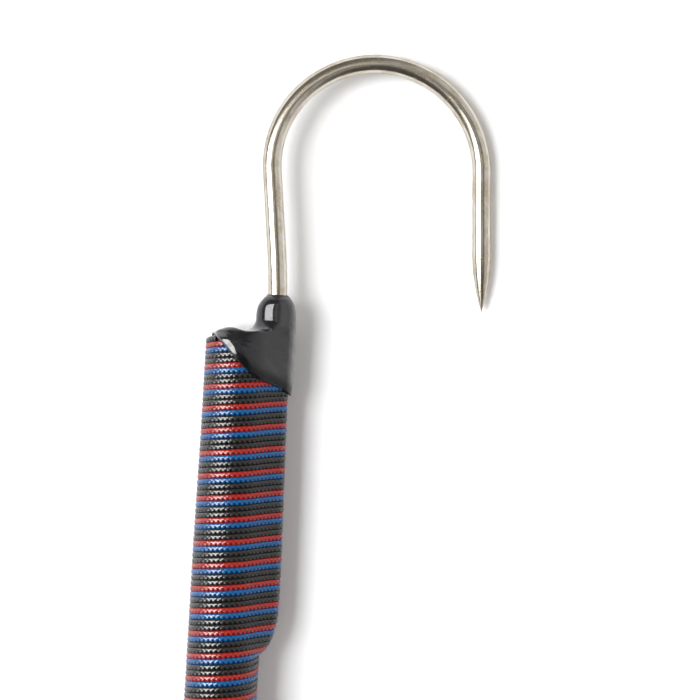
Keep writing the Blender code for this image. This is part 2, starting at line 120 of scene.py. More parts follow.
def start_ring(name, radius, centre, sides, facing="Y"):
    """Add an open circle that looks along an axis, and enter edit mode with all of it selected."""
    deselect_all()
    turn = {"Y": (math.pi / 2, 0.0, 0.0), "X": (0.0, math.pi / 2, 0.0)}[facing]
    bpy.ops.mesh.primitive_circle_add(
        vertices=sides, radius=radius, fill_type="NOTHING", location=centre, rotation=turn
    )
    piece = bpy.context.active_object
    piece.name = piece.data.name = name
    bpy.ops.object.transform_apply()
    edit_whole()
    return piece


def extrude_ring(step, growth=1.0, centre=None):
    """Extrude the selected ring by a step, then scale it about a centre on its axis."""
    bpy.ops.mesh.extrude_region_move(TRANSFORM_OT_translate={"value": step})
    if abs(growth - 1.0) > 1e-9:
        bpy.ops.transform.resize(value=(growth, growth, growth), center_override=centre)


def bevel_edges(piece, width, segments, sharper_than):
    """Round the edges that turn by more than an angle in degrees, with an applied modifier."""
    select_only(piece)
    bevel = piece.modifiers.new("Bevel", "BEVEL")
    bevel.width = width
    bevel.segments = segments
    bevel.limit_method = "ANGLE"
    bevel.angle_limit = math.radians(sharper_than)
    bpy.ops.object.modifier_apply(modifier=bevel.name)


def seat_on_head(piece):
    """Move a piece from the head's own frame to its place on the pole."""
    select_only(piece)
    piece.matrix_world = HEAD_PLACE
    bpy.ops.object.transform_apply()


def dress(piece, finish, slot, *nodes, smooth_below=40.0):
    """Give a finished piece its material and its place in the frame; the slot is not used."""
    piece.data.materials.append(finish.material)
    select_only(piece)
    bpy.ops.object.shade_smooth_by_angle(angle=math.radians(smooth_below))
    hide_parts(*nodes)
    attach(piece, "root")
    faces = sum(len(face.vertices) - 2 for face in piece.data.polygons)
    print(f"{piece.name}: {faces} triangles")

# %% [markdown]
# ## Writing shader maths in plain Python
# A finish is a small node tree. Drawn by hand, its sums take a lot of wiring, so one class wraps
# a socket and turns Python's operators into Math nodes. A second class holds the tree and adds any
# other node through one method. The finishes then read like formulas.

# %% Classes: a socket with operators, and a bench to put nodes on
def math_node(operation, reflected=False):
    """A method that turns one of Python's operators into a Math node."""
    def method(self, other):
        values = (other, self) if reflected else (self, other)
        return self.bench.maths(operation, *values)
    return method


class Signal:
    """One output socket of a node tree, which can be added, multiplied and so on."""

    def __init__(self, bench, socket):
        self.bench = bench
        self.socket = socket

    __add__, __radd__ = math_node("ADD"), math_node("ADD", True)
    __sub__, __rsub__ = math_node("SUBTRACT"), math_node("SUBTRACT", True)
    __mul__, __rmul__ = math_node("MULTIPLY"), math_node("MULTIPLY", True)
    __truediv__, __rtruediv__ = math_node("DIVIDE"), math_node("DIVIDE", True)
    __pow__, __rpow__ = math_node("POWER"), math_node("POWER", True)

    def sine(self):
        return self.bench.maths("SINE", self)

    def fraction(self):
        return self.bench.maths("FRACT", self)

    def floor(self):
        return self.bench.maths("FLOOR", self)

    def between(self, low, high, start=0.0, end=1.0):
        """A soft step: start below low, end above high."""
        inputs = {0: self, 1: low, 2: high, 3: start, 4: end}
        return self.bench.add("ShaderNodeMapRange", {"interpolation_type": "SMOOTHSTEP"}, inputs)


class Bench:
    """A node tree with one method that adds any node."""

    def __init__(self, tree):
        self.tree = tree

    def add(self, kind, settings=None, inputs=None, output=0):
        """A node of that kind: settings first, then values or signals for its sockets."""
        node = self.tree.nodes.new(kind)
        for key, value in (settings or {}).items():
            setattr(node, key, value)
        for key, value in (inputs or {}).items():
            self.feed(node.inputs[key], value)
        return Signal(self, node.outputs[output])

    def feed(self, socket, value):
        """Link a signal to a socket, or set the socket's own value."""
        if isinstance(value, Signal):
            self.tree.links.new(value.socket, socket)
        else:
            socket.default_value = value

    def maths(self, operation, *values):
        """A Math node on values and signals."""
        return self.add("ShaderNodeMath", {"operation": operation}, dict(enumerate(values)))

    def blend(self, amount, low, high):
        """Mix two colours, or colour signals, by a signal from 0 to 1."""
        low, high = (value if isinstance(value, Signal) else (*value, 1.0) for value in (low, high))
        # A Mix node's inputs 6 and 7 and its output 2 are the ones for colours.
        return self.add("ShaderNodeMix", {"data_type": "RGBA"}, {0: amount, 6: low, 7: high}, 2)

    def split(self, place):
        """The three numbers of a place, from one node's three outputs."""
        node = self.add("ShaderNodeSeparateXYZ", {}, {0: place}).socket.node
        return [Signal(self, output) for output in node.outputs]


class Finish(Bench):
    """A material: a bench with a Principled shader, and a place that its patterns follow."""

    def __init__(self, name, follows=None, **constants):
        """The patterns follow an attribute of the mesh, or else the piece's own coordinates."""
        self.material = bpy.data.materials.new(name)
        self.material.use_nodes = True
        super().__init__(self.material.node_tree)
        self.shader = self.tree.nodes["Principled BSDF"]
        self.set(**constants)
        if follows:
            settings = {"attribute_name": follows}
            self.place = self.add("ShaderNodeAttribute", settings, output="Vector")
        else:
            self.place = self.add("ShaderNodeTexCoord", output="Object")
        print("finish:", name)

    def set(self, **sockets):
        """Set or link the shader's sockets; an underscore stands for a space in a socket's name."""
        for key, value in sockets.items():
            value = (*value, 1.0) if isinstance(value, tuple) else value
            self.feed(self.shader.inputs[key.replace("_", " ")], value)

    def noise(self, scale, detail=3.0, roughness=0.5, stretch=None):
        """A noise pattern; a stretch scales the place's parts first, which draws it out."""
        inputs = {"Vector": self.place, "Scale": scale, "Detail": detail, "Roughness": roughness}
        if stretch:
            factors = {0: self.place, 1: stretch}
            inputs["Vector"] = self.add("ShaderNodeVectorMath", {"operation": "MULTIPLY"}, factors)
        return self.add("ShaderNodeTexNoise", {}, inputs)

    def bump(self, height, depth, strength=1.0):
        """Feed the shader's normal from a height signal; depth is in metres."""
        inputs = {"Height": height, "Distance": depth, "Strength": strength}
        self.set(Normal=self.add("ShaderNodeBump", {}, inputs))

# %% [markdown]
# ## Stainless wire
# The real hook is drawn stainless wire that was bent cold, ground to a point and rubbed with a
# fine pad. Fine lines run along it, a few marks from handling break the shine, and the steel has
# a warm tone. The pattern has to follow the bend, so the hook carries its own attribute: the way
# round the wire as a cosine and sine, and the distance along it. Such fine lines also smear what
# the wire mirrors, and the anisotropic setting does that.

# %% Finish: stainless wire
STEEL = Finish("stainless_wire_brushed", "wire_place", Metallic=1.0, Anisotropic=0.8)
STEEL.set(Specular_Tint=(0.42, 0.38, 0.31))
lines = STEEL.noise(9.0, 4.0, 0.6, stretch=(1.0, 1.0, 0.055))
patches = STEEL.noise(1.6, 4.0, 0.55, stretch=(0.6, 0.6, 0.35))
specks = STEEL.noise(14.0, 2.0, 0.5)
worn = patches.between(0.42, 0.62)
pale = STEEL.blend(lines.between(0.35, 0.7), (0.63, 0.592, 0.525), (0.77, 0.732, 0.665))
tinted = STEEL.blend(worn * 0.6, pale, (0.50, 0.435, 0.335))
marks = specks.between(0.60, 0.72) * 0.5
STEEL.set(Base_Color=STEEL.blend(marks, tinted, (0.31, 0.27, 0.215)))
STEEL.set(Roughness=0.20 + 0.05 * lines + 0.05 * worn)
STEEL.bump(lines + 0.25 * specks, 0.01 * MM, 0.6)

# %% [markdown]
# ## The hook
# It could be a curve with a round bevel, but a curve's profile can't be ground to a point. Modelled
# by hand it is simple: one circle at the tang's end is extruded along each straight and spun round
# each bend's centre, just as the wire is bent on a former. The big bend starts a little tighter
# and opens out. The point is extruded in short steps and scaled down along a circular ogive.

# %% The hook's moves: straights and bends in its own plane
NECK_RADIUS = 328.1 * MM
NECK_LEAN = math.radians(6.52)
NECK_STRAIGHT = 31.6 * MM
TIGHT_RADIUS = 42.5 * MM
TIGHT_TURN = math.radians(45.8)
BEND_RADIUS = 45.3 * MM
POINT_FLARE = math.radians(3.29)
POINT_LEG = 59.6 * MM
OGIVE_LENGTH = 25.0 * MM
OGIVE_STEPS = 22
TIP_RADIUS = 0.15 * MM
TANG_BEND = 8.0 * MM
TANG_STRAIGHT = 8.0 * MM
SHANK_STRAIGHT = 118.0 * MM
TANG_START = (-1.0 * MM, -126.0 * MM)
# Each move is a straight with its length, or a bend with its radius and turn, and its steps.
WIRE_MOVES = [
    ("straight", TANG_STRAIGHT, 2),
    ("bend", TANG_BEND, -math.pi / 2, 12),
    ("straight", SHANK_STRAIGHT, 8),
    ("bend", NECK_RADIUS, -NECK_LEAN, 16),
    ("straight", NECK_STRAIGHT, 4),
    ("bend", TIGHT_RADIUS, TIGHT_TURN, 32),
    ("bend", BEND_RADIUS, math.pi + NECK_LEAN - POINT_FLARE - TIGHT_TURN, 92),
    ("straight", POINT_LEG - OGIVE_LENGTH, 10),
]


def ogive_radius(distance):
    """The ground point: a circular ogive that leaves the full wire without a corner."""
    swing = (WIRE_RADIUS ** 2 + OGIVE_LENGTH ** 2) / (2 * WIRE_RADIUS)
    return max(TIP_RADIUS, math.sqrt(swing ** 2 - distance ** 2) - swing + WIRE_RADIUS)

# %% Extrude and spin the wire
def bend_wire(name, sides=40):
    """Follow the moves with one ring of points; returns the piece and its middle line."""
    x, y = TANG_START
    heading = math.pi / 2
    piece = start_ring(name, WIRE_RADIUS, (x, y, 0.0), sides, "X")
    bpy.ops.mesh.edge_face_add()
    line = [(x, y, 0.0)]
    for kind, size, *rest in WIRE_MOVES:
        ahead = Vector((math.sin(heading), math.cos(heading), 0.0))
        if kind == "straight":
            steps = rest[0]
            for _ in range(steps):
                extrude_ring(ahead * size / steps)
                x, y = x + ahead.x * size / steps, y + ahead.y * size / steps
                line.append((x, y, 0.0))
            continue
        turn, steps = rest
        side = math.copysign(1.0, turn)
        centre = Vector((x + side * size * ahead.y, y - side * size * ahead.x, 0.0))
        bpy.ops.mesh.spin(steps=steps, angle=turn, center=centre, axis=(0.0, 0.0, 1.0))
        for step in range(1, steps + 1):
            swung = Matrix.Rotation(-turn * step / steps, 2) @ (Vector((x, y)) - centre.xy)
            line.append((centre.x + swung.x, centre.y + swung.y, 0.0))
        x, y, _ = line[-1]
        heading += turn
    return piece, line, Vector((math.sin(heading), math.cos(heading), 0.0))


def grind_point(line, ahead):
    """Extrude the last straight in short steps, each scaled down to the ogive's radius."""
    here = Vector(line[-1])
    radius = WIRE_RADIUS
    for step in range(1, OGIVE_STEPS + 1):
        reach = OGIVE_LENGTH * (1 - (1 - step / OGIVE_STEPS) ** 1.25)
        before = (here - Vector(line[-1])).length if step > 1 else 0.0
        here = Vector(line[-1]) + ahead * reach
        next_radius = ogive_radius(reach)
        extrude_ring(ahead * (reach - before), next_radius / radius, here)
        radius = next_radius
    return here


HOOK, HOOK_LINE, POINT_AHEAD = bend_wire("hook_wire")
HOOK_TIP = grind_point(HOOK_LINE, POINT_AHEAD)
HOOK_LINE.append(tuple(HOOK_TIP))
bpy.ops.mesh.select_all(action="SELECT")
bpy.ops.mesh.remove_doubles(threshold=0.001 * MM)
leave_outward()
print("hook tip in the head's frame, mm:", [round(value / MM, 2) for value in HOOK_TIP])

# %% [markdown]
# The brushed lines need to know where they are on the wire. Each point of the mesh finds the
# nearest place on the middle line, and stores its way round the wire and its distance along.

# %% Write the wire's own coordinates on the hook
def distances_along(points):
    """How far each point of a line lies from its start, measured along it."""
    hops = np.linalg.norm(np.diff(points, axis=0), axis=-1)
    return np.concatenate([np.zeros_like(hops[:1]), np.cumsum(hops, axis=0)])


def lay_along(piece, line, radius, name):
    """Store (cosine, sine, distance in wire radii) of each vertex on a line in the XY plane."""
    stops = np.array(line)
    hops = np.diff(stops, axis=0)
    lengths = np.linalg.norm(hops, axis=1)
    travelled = distances_along(stops)
    points = np.empty(len(piece.data.vertices) * 3)
    piece.data.vertices.foreach_get("co", points)
    points = points.reshape(-1, 3)
    values = np.empty_like(points)
    for index, point in enumerate(points):
        shares = np.clip(((point - stops[:-1]) * hops).sum(1) / lengths ** 2, 0.0, 1.0)
        feet = stops[:-1] + hops * shares[:, None]
        nearest = int(np.argmin(np.linalg.norm(point - feet, axis=1)))
        ahead = hops[nearest] / lengths[nearest]
        out = point - feet[nearest]
        side = out[0] * ahead[1] - out[1] * ahead[0]
        angle = math.atan2(out[2], side)
        distance = travelled[nearest] + lengths[nearest] * shares[nearest]
        values[index] = (math.cos(angle), math.sin(angle), distance / radius)
    field = piece.data.attributes.new(name, "FLOAT_VECTOR", "POINT")
    field.data.foreach_set("vector", values.ravel())
    return travelled[-1]


WIRE_LENGTH = lay_along(HOOK, HOOK_LINE, WIRE_RADIUS, "wire_place")
seat_on_head(HOOK)
dress(HOOK, STEEL, "stainless_wire", "hook")
print("wire length, mm:", round(WIRE_LENGTH / MM, 1))

# %% [markdown]
# ## Braided cord
# The lashing is four braided polyester cords under clear varnish: red, blue and two black. On such
# a cord eight little bundles of thread pass over and under each other, four leaning each way, and
# leave a pattern of slanted lozenges. The finish reads the cord's own UV map, where one step along
# is one pick of the braid and one step across is one bundle. It draws the threads in each bundle,
# and paints shade into the colour: the valleys are darker, more so on the cord's lower half. The
# varnish is a clear coat, thin in the valleys and worn on the side that the hook opens to.

# %% Finish: braided cord under varnish
THREADS_IN_BUNDLE = 5


def woven(right_high, left_high, odd):
    """How high the top bundle stands: it leans right at even crossings and left at odd ones."""
    over_right = right_high * (0.35 + 0.65 * left_high)
    over_left = left_high * (0.35 + 0.65 * right_high)
    return over_right * (1 - odd) + over_left * odd


def make_cord_finish(name, painted_valley_shade, full, dusty):
    """A braid's colours: painted shade in its valleys, full on its bundles, and dusty here and
    there.
    """
    cord = Finish(name, Coat_IOR=1.74, Coat_Roughness=0.06, Specular_IOR_Level=0.12)
    along, across, _ = cord.split(cord.add("ShaderNodeUVMap", {"uv_map": "braid"}))
    right, left = across + along, across - along
    odd = ((right.floor() + left.floor()) * 0.5).fraction() * 2.0
    right_high, left_high = ((way.fraction() * math.pi).sine() for way in (right, left))
    bundle = woven(right_high, left_high, odd)
    ripple = 2 * math.pi * THREADS_IN_BUNDLE
    threads = (right * ripple).sine() * (1 - odd) + (left * ripple).sine() * odd
    drift = cord.noise(160.0, 3.0)
    grime = cord.noise(900.0, 2.0)
    # Painted shade: the valleys between bundles take the darker colour, more on the cord's lower
    # half than on its upper half.
    upper_half = 1 - across.between(0.10, 0.40)
    unshaded_crest = (bundle + 0.32 * upper_half).between(0.18, 0.72)
    lit = cord.blend(unshaded_crest, painted_valley_shade, full)
    cord.set(Base_Color=cord.blend(drift.between(0.45, 0.75) * 0.15, lit, dusty))
    cord.set(Roughness=0.36 + 0.12 * drift)
    worn_side = cord.split(cord.place)[0].between(-3.0 * MM, 6.0 * MM)
    varnish = (0.25 + 0.75 * unshaded_crest) * grime.between(0.25, 0.5, 0.8, 1.0)
    cord.set(Coat_Weight=varnish * (1 - 0.45 * worn_side))
    cord.bump(bundle * 0.6 + threads * 0.06 + grime * 0.08, 0.06 * MM, 0.8)
    return cord


# Per colour: the painted valley shade, the full colour of the bundles, and a dusty tone.
CORD_COLOURS = {
    "red": ((0.09, 0.002, 0.002), (0.47, 0.018, 0.013), (0.42, 0.07, 0.05)),
    "blue": ((0.0, 0.014, 0.06), (0.0, 0.119, 0.38), (0.0, 0.152, 0.36)),
    "black": ((0.001, 0.001, 0.001), (0.0215, 0.0202, 0.0215), (0.037, 0.035, 0.036)),
}
CORD_FINISHES = {
    colour: make_cord_finish(f"cord_{colour}_braid", *shades)
    for colour, shades in CORD_COLOURS.items()
}

# %% [markdown]
# ## Where the cords run
# The four cords lie side by side and climb round pole and shank as one screw. Seen from the end,
# each turn is a stretched loop: round the pole, straight over the gap, round the shank and back.
# The loop swells a little down the shank, and where the wire dives into the pole it closes over a
# rounded elbow to the pole alone. A tidy function gives how far out a cord's middle lies, for any
# angle and height. Small soft ramps let the first turns sink and settle as on the real lashing.

# %% The band that the cords follow
CORD_PITCH = 2.347 * MM
CORD_THICKNESS = 2.2 * MM
CORD_BED = 0.1 * MM + CORD_THICKNESS / 2
CORD_LEAD = 4 * CORD_PITCH
FIRST_CORD_DROP = 4.7 * MM
LASHING_TOP = -1.4 * MM
LASHING_BOTTOM = -177.0 * MM
ELBOW_TOP = -114.0 * MM
ELBOW_LENGTH = 20.0 * MM
ELBOW_ROUND = 0.97
ELBOW_LEFT_OVER = 0.6 * MM
# Soft ramps: how much in all, from which height, and over which length.
SHANK_SWELL = (1.5 * MM, 10.0 * MM, 100.0 * MM)
TOP_SINK = (0.5 * MM, -95.0 * MM, 60.0 * MM)
END_SINK = (1.0 * MM, -3.6 * MM, 2.6 * MM)
SETTLING = (1.5 * MM, -32.0 * MM, 26.0 * MM)


def soft_step(value):
    value = np.clip(value, 0.0, 1.0)
    return value * value * (3.0 - 2.0 * value)


def ramp(height, amount, start, length):
    """Nothing below the start, the whole amount one length above it, and a soft rise between."""
    return amount * soft_step((height - start) / length)


def band_radius(angle, pole_radius, shank_radius, offset):
    """Distance from the pole's axis to the band round pole and shank, for arrays of angles."""
    away = np.abs(np.remainder(angle + math.pi, 2 * math.pi) - math.pi)
    lean = np.arccos(np.clip((pole_radius - shank_radius) / offset, -1.0, 1.0))
    touch = np.arctan2(shank_radius * np.sin(lean), offset + shank_radius * np.cos(lean))
    inside = np.maximum(shank_radius ** 2 - (offset * np.sin(away)) ** 2, 0.0)
    on_shank = offset * np.cos(away) + np.sqrt(inside)
    on_flat = pole_radius / np.cos(np.clip(lean - away, -1.4, 1.4))
    return np.where(away >= lean, pole_radius, np.where(away >= touch, on_flat, on_shank))


def shank_offset_at(y):
    """The shank's distance from the axis as the lashing sees it: a swell, then the tang's elbow."""
    swollen = SHANK_OFFSET + ramp(-y, *SHANK_SWELL)
    fall = swollen - (POLE_RADIUS - WIRE_RADIUS) - ELBOW_LEFT_OVER
    way = np.clip((ELBOW_TOP - y) / ELBOW_LENGTH, 0.0, 1.0)
    fallen = (1 - np.sqrt(1 - ELBOW_ROUND * way ** 2)) / (1 - np.sqrt(1 - ELBOW_ROUND))
    return swollen - fall * fallen


def cord_middle(angle, y):
    """The middle of a cord that lies on pole and shank, as points in the head's frame."""
    pole = POLE_RADIUS + CORD_BED - ramp(y, *TOP_SINK)
    reach = band_radius(angle, pole, WIRE_RADIUS + CORD_BED, shank_offset_at(y))
    reach = reach - ramp(y, *END_SINK)
    return np.stack([reach * np.cos(angle), y, reach * np.sin(angle)], axis=-1)


print("lead of the screw, mm:", round(CORD_LEAD / MM, 2))

# %% [markdown]
# ## The braided cords
# Such a surface can't be made by extruding by hand: each cord turns eighteen times and carries
# nearly nine hundred picks. It is swept in mesh code. Stations follow the screw, six to each pick
# of the braid, and a squarish section is set square to the path and to the band. The finish's own
# weave then lifts each bundle where it passes over and sinks it where it dives, so that shape and
# colour agree. The two corners under the cord, which nobody sees, stay plain.

# %% The braid's relief and the path of one cord
BRAID_PICK = 2.00 * MM
STATIONS_PER_PICK = 6
TRIAL_STEPS = 60000


def braid_height(along, across):
    """How high the braid stands, 0 to 1; along in picks and across in bundles."""
    right, left = across + along, across - along
    right_high = 1 - (1 - np.sin(np.pi * (right % 1.0))) ** 2
    left_high = 1 - (1 - np.sin(np.pi * (left % 1.0))) ** 2
    return woven(right_high, left_high, (np.floor(right) + np.floor(left)) % 2)


def cord_path(number):
    """Evenly spaced angles and heights down one cord, and its length."""
    left_y = -FIRST_CORD_DROP - number * CORD_PITCH

    def height_at(angle):
        height = left_y - CORD_LEAD * (angle - math.pi) / (2 * math.pi)
        return height - ramp(height, *SETTLING)

    top, bottom = (
        math.pi + 2 * math.pi * (left_y - end) / CORD_LEAD for end in (LASHING_TOP, LASHING_BOTTOM)
    )
    angles = np.linspace(top, bottom, TRIAL_STEPS)
    travelled = distances_along(cord_middle(angles, height_at(angles)))
    count = int(travelled[-1] / BRAID_PICK) * STATIONS_PER_PICK
    stops = np.arange(count + 1) * (BRAID_PICK / STATIONS_PER_PICK)
    even = np.interp(stops, travelled, angles)
    return even, height_at(even), travelled[-1]


def unit(vectors):
    return vectors / np.linalg.norm(vectors, axis=-1, keepdims=True)


def mesh_from_grid(name, points, closed_rows, uv=None, uv_name="UVMap"):
    """A tube mesh from rows of points, each a ring; the ends are capped or joined to each other."""
    rows, around = points.shape[:2]
    here = np.arange(rows * around).reshape(rows, around)
    beside = np.roll(here, -1, axis=1)
    last = rows if closed_rows else rows - 1
    above, above_beside = (np.roll(ring, -1, axis=0) for ring in (here, beside))
    quads = np.stack([here, beside, above_beside, above], axis=-1)[:last]
    faces = quads.reshape(-1, 4).tolist()
    if not closed_rows:
        faces += [here[0, ::-1].tolist(), here[-1].tolist()]
    mesh = bpy.data.meshes.new(name)
    mesh.from_pydata(points.reshape(-1, 3).tolist(), [], faces)
    if uv is not None:
        layer = mesh.uv_layers.new(name=uv_name)
        corners = uv[:last].reshape(-1, 2)
        spare = np.zeros((len(layer.data) - len(corners), 2))
        layer.data.foreach_set("uv", np.concatenate([corners, spare]).ravel())
    mesh.update()
    piece = bpy.data.objects.new(name, mesh)
    bpy.context.scene.collection.objects.link(piece)
    select_only(piece)
    edit_whole()
    leave_outward()
    return piece


print("braid pick, mm:", BRAID_PICK / MM)

# %% Sweep the four cords
TOP_RELIEF = 0.30 * MM
SIDE_RELIEF = 0.45 * MM
SQUEEZE = 0.03 * MM
SQUARENESS = 2.8
UNDERSIDE_DEPTH = 0.95
SECTION_ACROSS = [-1.0, -0.9, -0.72, -0.54, -0.36, -0.18, 0.0, 0.18, 0.36, 0.54, 0.72, 0.9, 1.0]
SECTION_UNDER = [0.55, -0.55]


def braided_cord(name, number):
    """Sweep one cord's section along its path; returns the piece and the cord's length."""
    angles, heights, length = cord_path(number)
    middle = cord_middle(angles, heights)
    ahead = unit(np.gradient(middle, axis=0))
    nudge, lift = 1e-4, 0.3 * MM
    round_way = cord_middle(angles + nudge, heights) - cord_middle(angles - nudge, heights)
    up_way = cord_middle(angles, heights + lift) - cord_middle(angles, heights - lift)
    out = unit(np.cross(up_way, round_way))
    side = unit(np.cross(out, ahead))
    steep = np.linalg.norm(up_way, axis=-1) / (2 * lift)
    share = np.array(SECTION_ACROSS + SECTION_UNDER)
    up = (1 - np.abs(share) ** SQUARENESS) ** (1 / SQUARENESS)
    up[len(SECTION_ACROSS):] *= -UNDERSIDE_DEPTH
    pick = np.arange(len(angles)) / STATIONS_PER_PICK
    band = 0.25 + 0.5 * np.append(np.array(SECTION_ACROSS), [1.6, 2.4])
    sunk = braid_height(*np.broadcast_arrays(pick[:, None], band[None, :])) - 1.0
    seen = (up > 0.0)[None, :]
    low = soft_step((share + 0.2) / 0.6)[None, :]
    side_lift = np.where(seen, SIDE_RELIEF * (sunk + 0.40) * (0.35 + 0.65 * low), 0.0)
    top_lift = np.where(seen, TOP_RELIEF * (sunk + 0.25) * (0.6 + 0.4 * low), 0.0)
    wide = (CORD_PITCH / 2 + SQUEEZE) * steep[:, None] + side_lift
    thick = CORD_THICKNESS / 2 + top_lift
    points = middle[:, None, :]
    points = points + (wide * share[None, :])[..., None] * side[:, None, :]
    points = points + (thick * up[None, :])[..., None] * out[:, None, :]
    next_band = np.append(band[1:], band[0] + 2.0)
    uv = np.empty((len(pick), len(band), 4, 2))
    uv[..., 0] = pick[:, None, None] + np.array([0, 0, 1, 1]) / STATIONS_PER_PICK
    uv[..., [0, 3], 1] = band[None, :, None]
    uv[..., [1, 2], 1] = next_band[None, :, None]
    return mesh_from_grid(name, points, False, uv, "braid"), length


CORDS = ("lashing_red", "lashing_blue", "lashing_black_1", "lashing_black_2")
for number, node in enumerate(CORDS):
    strand, strand_length = braided_cord(node + "_braid", number)
    seat_on_head(strand)
    colour = node.split("_")[1]
    dress(strand, CORD_FINISHES[colour], "cord_" + colour, node, smooth_below=60.0)
    print(node, "is", round(strand_length, 3), "m long")

# %% [markdown]
# ## Dipped vinyl
# The boot is liquid vinyl that set on the gaff's head after a dip. It is nearly black and glossy
# where it flowed, with a few soft runs, small pits and a duller bloom where hands rub it. Soft
# masks keep the wear in its place: dust on the crown, a dull lip at the neck's top and a rubbed
# belt across the front. Two more masks paint light and shade into the colour: a painted
# reflection lightens the neck's right side, and a painted shade darkens a band along the rim. The
# rim's mask reads an attribute that the boot's mesh gets further down, the height above the dip
# line in millimetres.

# %% Finish: dipped vinyl
VINYL = Finish("boot_dipped_vinyl", Specular_IOR_Level=0.12, Coat_IOR=1.62, Coat_Roughness=0.05)
BOOT_X, BOOT_Y, _ = VINYL.split(VINYL.place)


def up_boot(low, high):
    """A soft step over heights above the pole's end, in mm."""
    return BOOT_Y.between(HEAD_Y + low * MM, HEAD_Y + high * MM)


def across_boot(low, high):
    """A soft step from left to right of the pole's axis, in mm."""
    return BOOT_X.between(low * MM, high * MM)


runs = VINYL.noise(120.0, 3.0, 0.5, stretch=(1.0, 0.45, 1.0))
pits = VINYL.noise(1500.0, 2.0, 0.6)
bloom = VINYL.noise(260.0, 5.0, 0.65)
above_rim = VINYL.add("ShaderNodeAttribute", {"attribute_name": "above_rim"}, output="Fac")
lip = up_boot(13.5, 16.0)
dull = VINYL.maths("MAXIMUM", bloom.between(0.45, 0.72), lip * 0.9)
crown = up_boot(0.4, 1.6) * (1 - up_boot(3.0, 6.0)) * (1 - across_boot(1.0, 4.0))
neck = up_boot(2.5, 4.5)
rubbed = across_boot(-2.0, 1.0) * (1 - across_boot(5.0, 12.0))
# Painted shade: a band along the rim, darkened almost to black and given a thinner coat.
rim_painted_shade = across_boot(-2.5, 0.5) * (1 - above_rim.between(1.5, 7.0))
body = VINYL.blend(dull, (0.013, 0.013, 0.0165), (0.030, 0.030, 0.036))
# Painted reflection: the neck's right side is lightened where it faces the pale wall at the right.
body = VINYL.blend(neck * across_boot(14.6, 16.4), body, (0.045, 0.045, 0.051))
body = VINYL.blend(rim_painted_shade * 0.8, body, (0.004, 0.004, 0.004))
dusty = crown * bloom.between(0.35, 0.6)
VINYL.set(Base_Color=VINYL.blend(dusty, body, (0.10, 0.10, 0.105)))
VINYL.set(Roughness=0.13 + 0.20 * dull)
gloss = (1.0 - 0.35 * dull) * (1.0 - 0.45 * rubbed)
VINYL.set(Coat_Weight=gloss * (1.0 - 0.65 * rim_painted_shade) * (1.0 - 0.30 * neck))
VINYL.bump(runs + pits * 0.08, 0.10 * MM, 0.45)

# %% [markdown]
# ## The boot
# Dipping leaves a skin that follows what is under it, rounds every corner, swells a little at its
# rim and ends along the slant at which the head met the liquid. The skin is laid out as meridians:
# each one climbs the lashing's side, turns over the pole's end, crosses to the neck and runs up to
# the wire. A soft blur rounds the corners, the dip line cuts each meridian's start, and the rim is
# rolled in. The same meridians, run back on the inside, close the skin.

# %% The boot's measures and the lines that shape it
BOOT_POLE = 16.55 * MM
BOOT_SHANK = 8.05 * MM
BOOT_SKIN = 1.45 * MM
BOOT_LEAN = 3.6 * MM
BELOW_BOOT = -34.0 * MM
PLAIN_STRIP = 5.6 * MM
HIGHEST_LEAN_START = -2.6 * MM
NECK_SHIFT = 0.42 * MM
# Heights above the pole's end with radii, in mm: the neck's left and right sides, its front and
# back, and what the fillet adds at its foot.
NECK_PROFILE = [
    (1.4, 8.45), (4.6, 8.45), (8.8, 8.45), (10.3, 8.3), (11.6, 7.95),
    (12.9, 7.35), (14.3, 6.5), (15.4, 5.55), (16.3, 4.75), (16.9, 4.42),
]
NECK_FRONT = [
    (1.4, 9.3), (3.0, 8.8), (4.6, 8.45), (5.4, 8.38), (13.3, 8.3),
    (14.6, 7.8), (15.6, 6.7), (16.3, 5.4), (16.9, 4.42),
]
NECK_FILLET = [(1.4, 3.2), (2.1, 1.9), (3.0, 1.05), (4.2, 0.45), (5.6, 0.0)]
# The dip line across the boot, in mm, and the smooth curve that follows it.
DIP_LINE = [
    (-11.5, -2.0), (-9.6, -3.6), (-4.15, -9.85), (-2.0, -12.2),
    (0.75, -14.7), (9.2, -19.1), (13.0, -21.1), (20.4, -24.0),
]
DIP_CURVE = np.polyfit(*zip(*DIP_LINE), 4)
DIP_TURN = -11.0


def dip_height(x):
    """Height of the dip line at a place across the boot; at the left it turns up over the crown."""
    across = x / MM
    slant = np.polyval(DIP_CURVE, np.clip(across, -12.5, 24.0))
    return MM * (slant + (np.maximum(DIP_TURN - across, 0.0) / 0.5) ** 2)


def neck_centre(y):
    """The hook's neck leans away from the shank's line above the pole's end."""
    above = np.maximum(y, 0.0)
    lean = NECK_RADIUS - np.sqrt(NECK_RADIUS ** 2 - above ** 2)
    bulge = ramp(above, 1.0, 0.0, 5.0 * MM) * (1 - ramp(above, 1.0, 11.0 * MM, 6.0 * MM))
    return SHANK_OFFSET - lean - NECK_SHIFT * bulge


def crown_height(x):
    """The crown over the pole's end: a low hump at the left, a dip, and a rise to the neck."""
    across = x / MM
    hump = 1.25 * np.exp(-((across + 5.2) / 3.4) ** 2)
    dip = -0.45 * np.exp(-((across - 0.8) / 2.4) ** 2)
    droop = -1.2 * (np.maximum(-9.0 - across, 0.0) / 2.4) ** 2
    return (1.3 + hump + dip + droop) * MM


print("boot skin, mm:", BOOT_SKIN / MM)

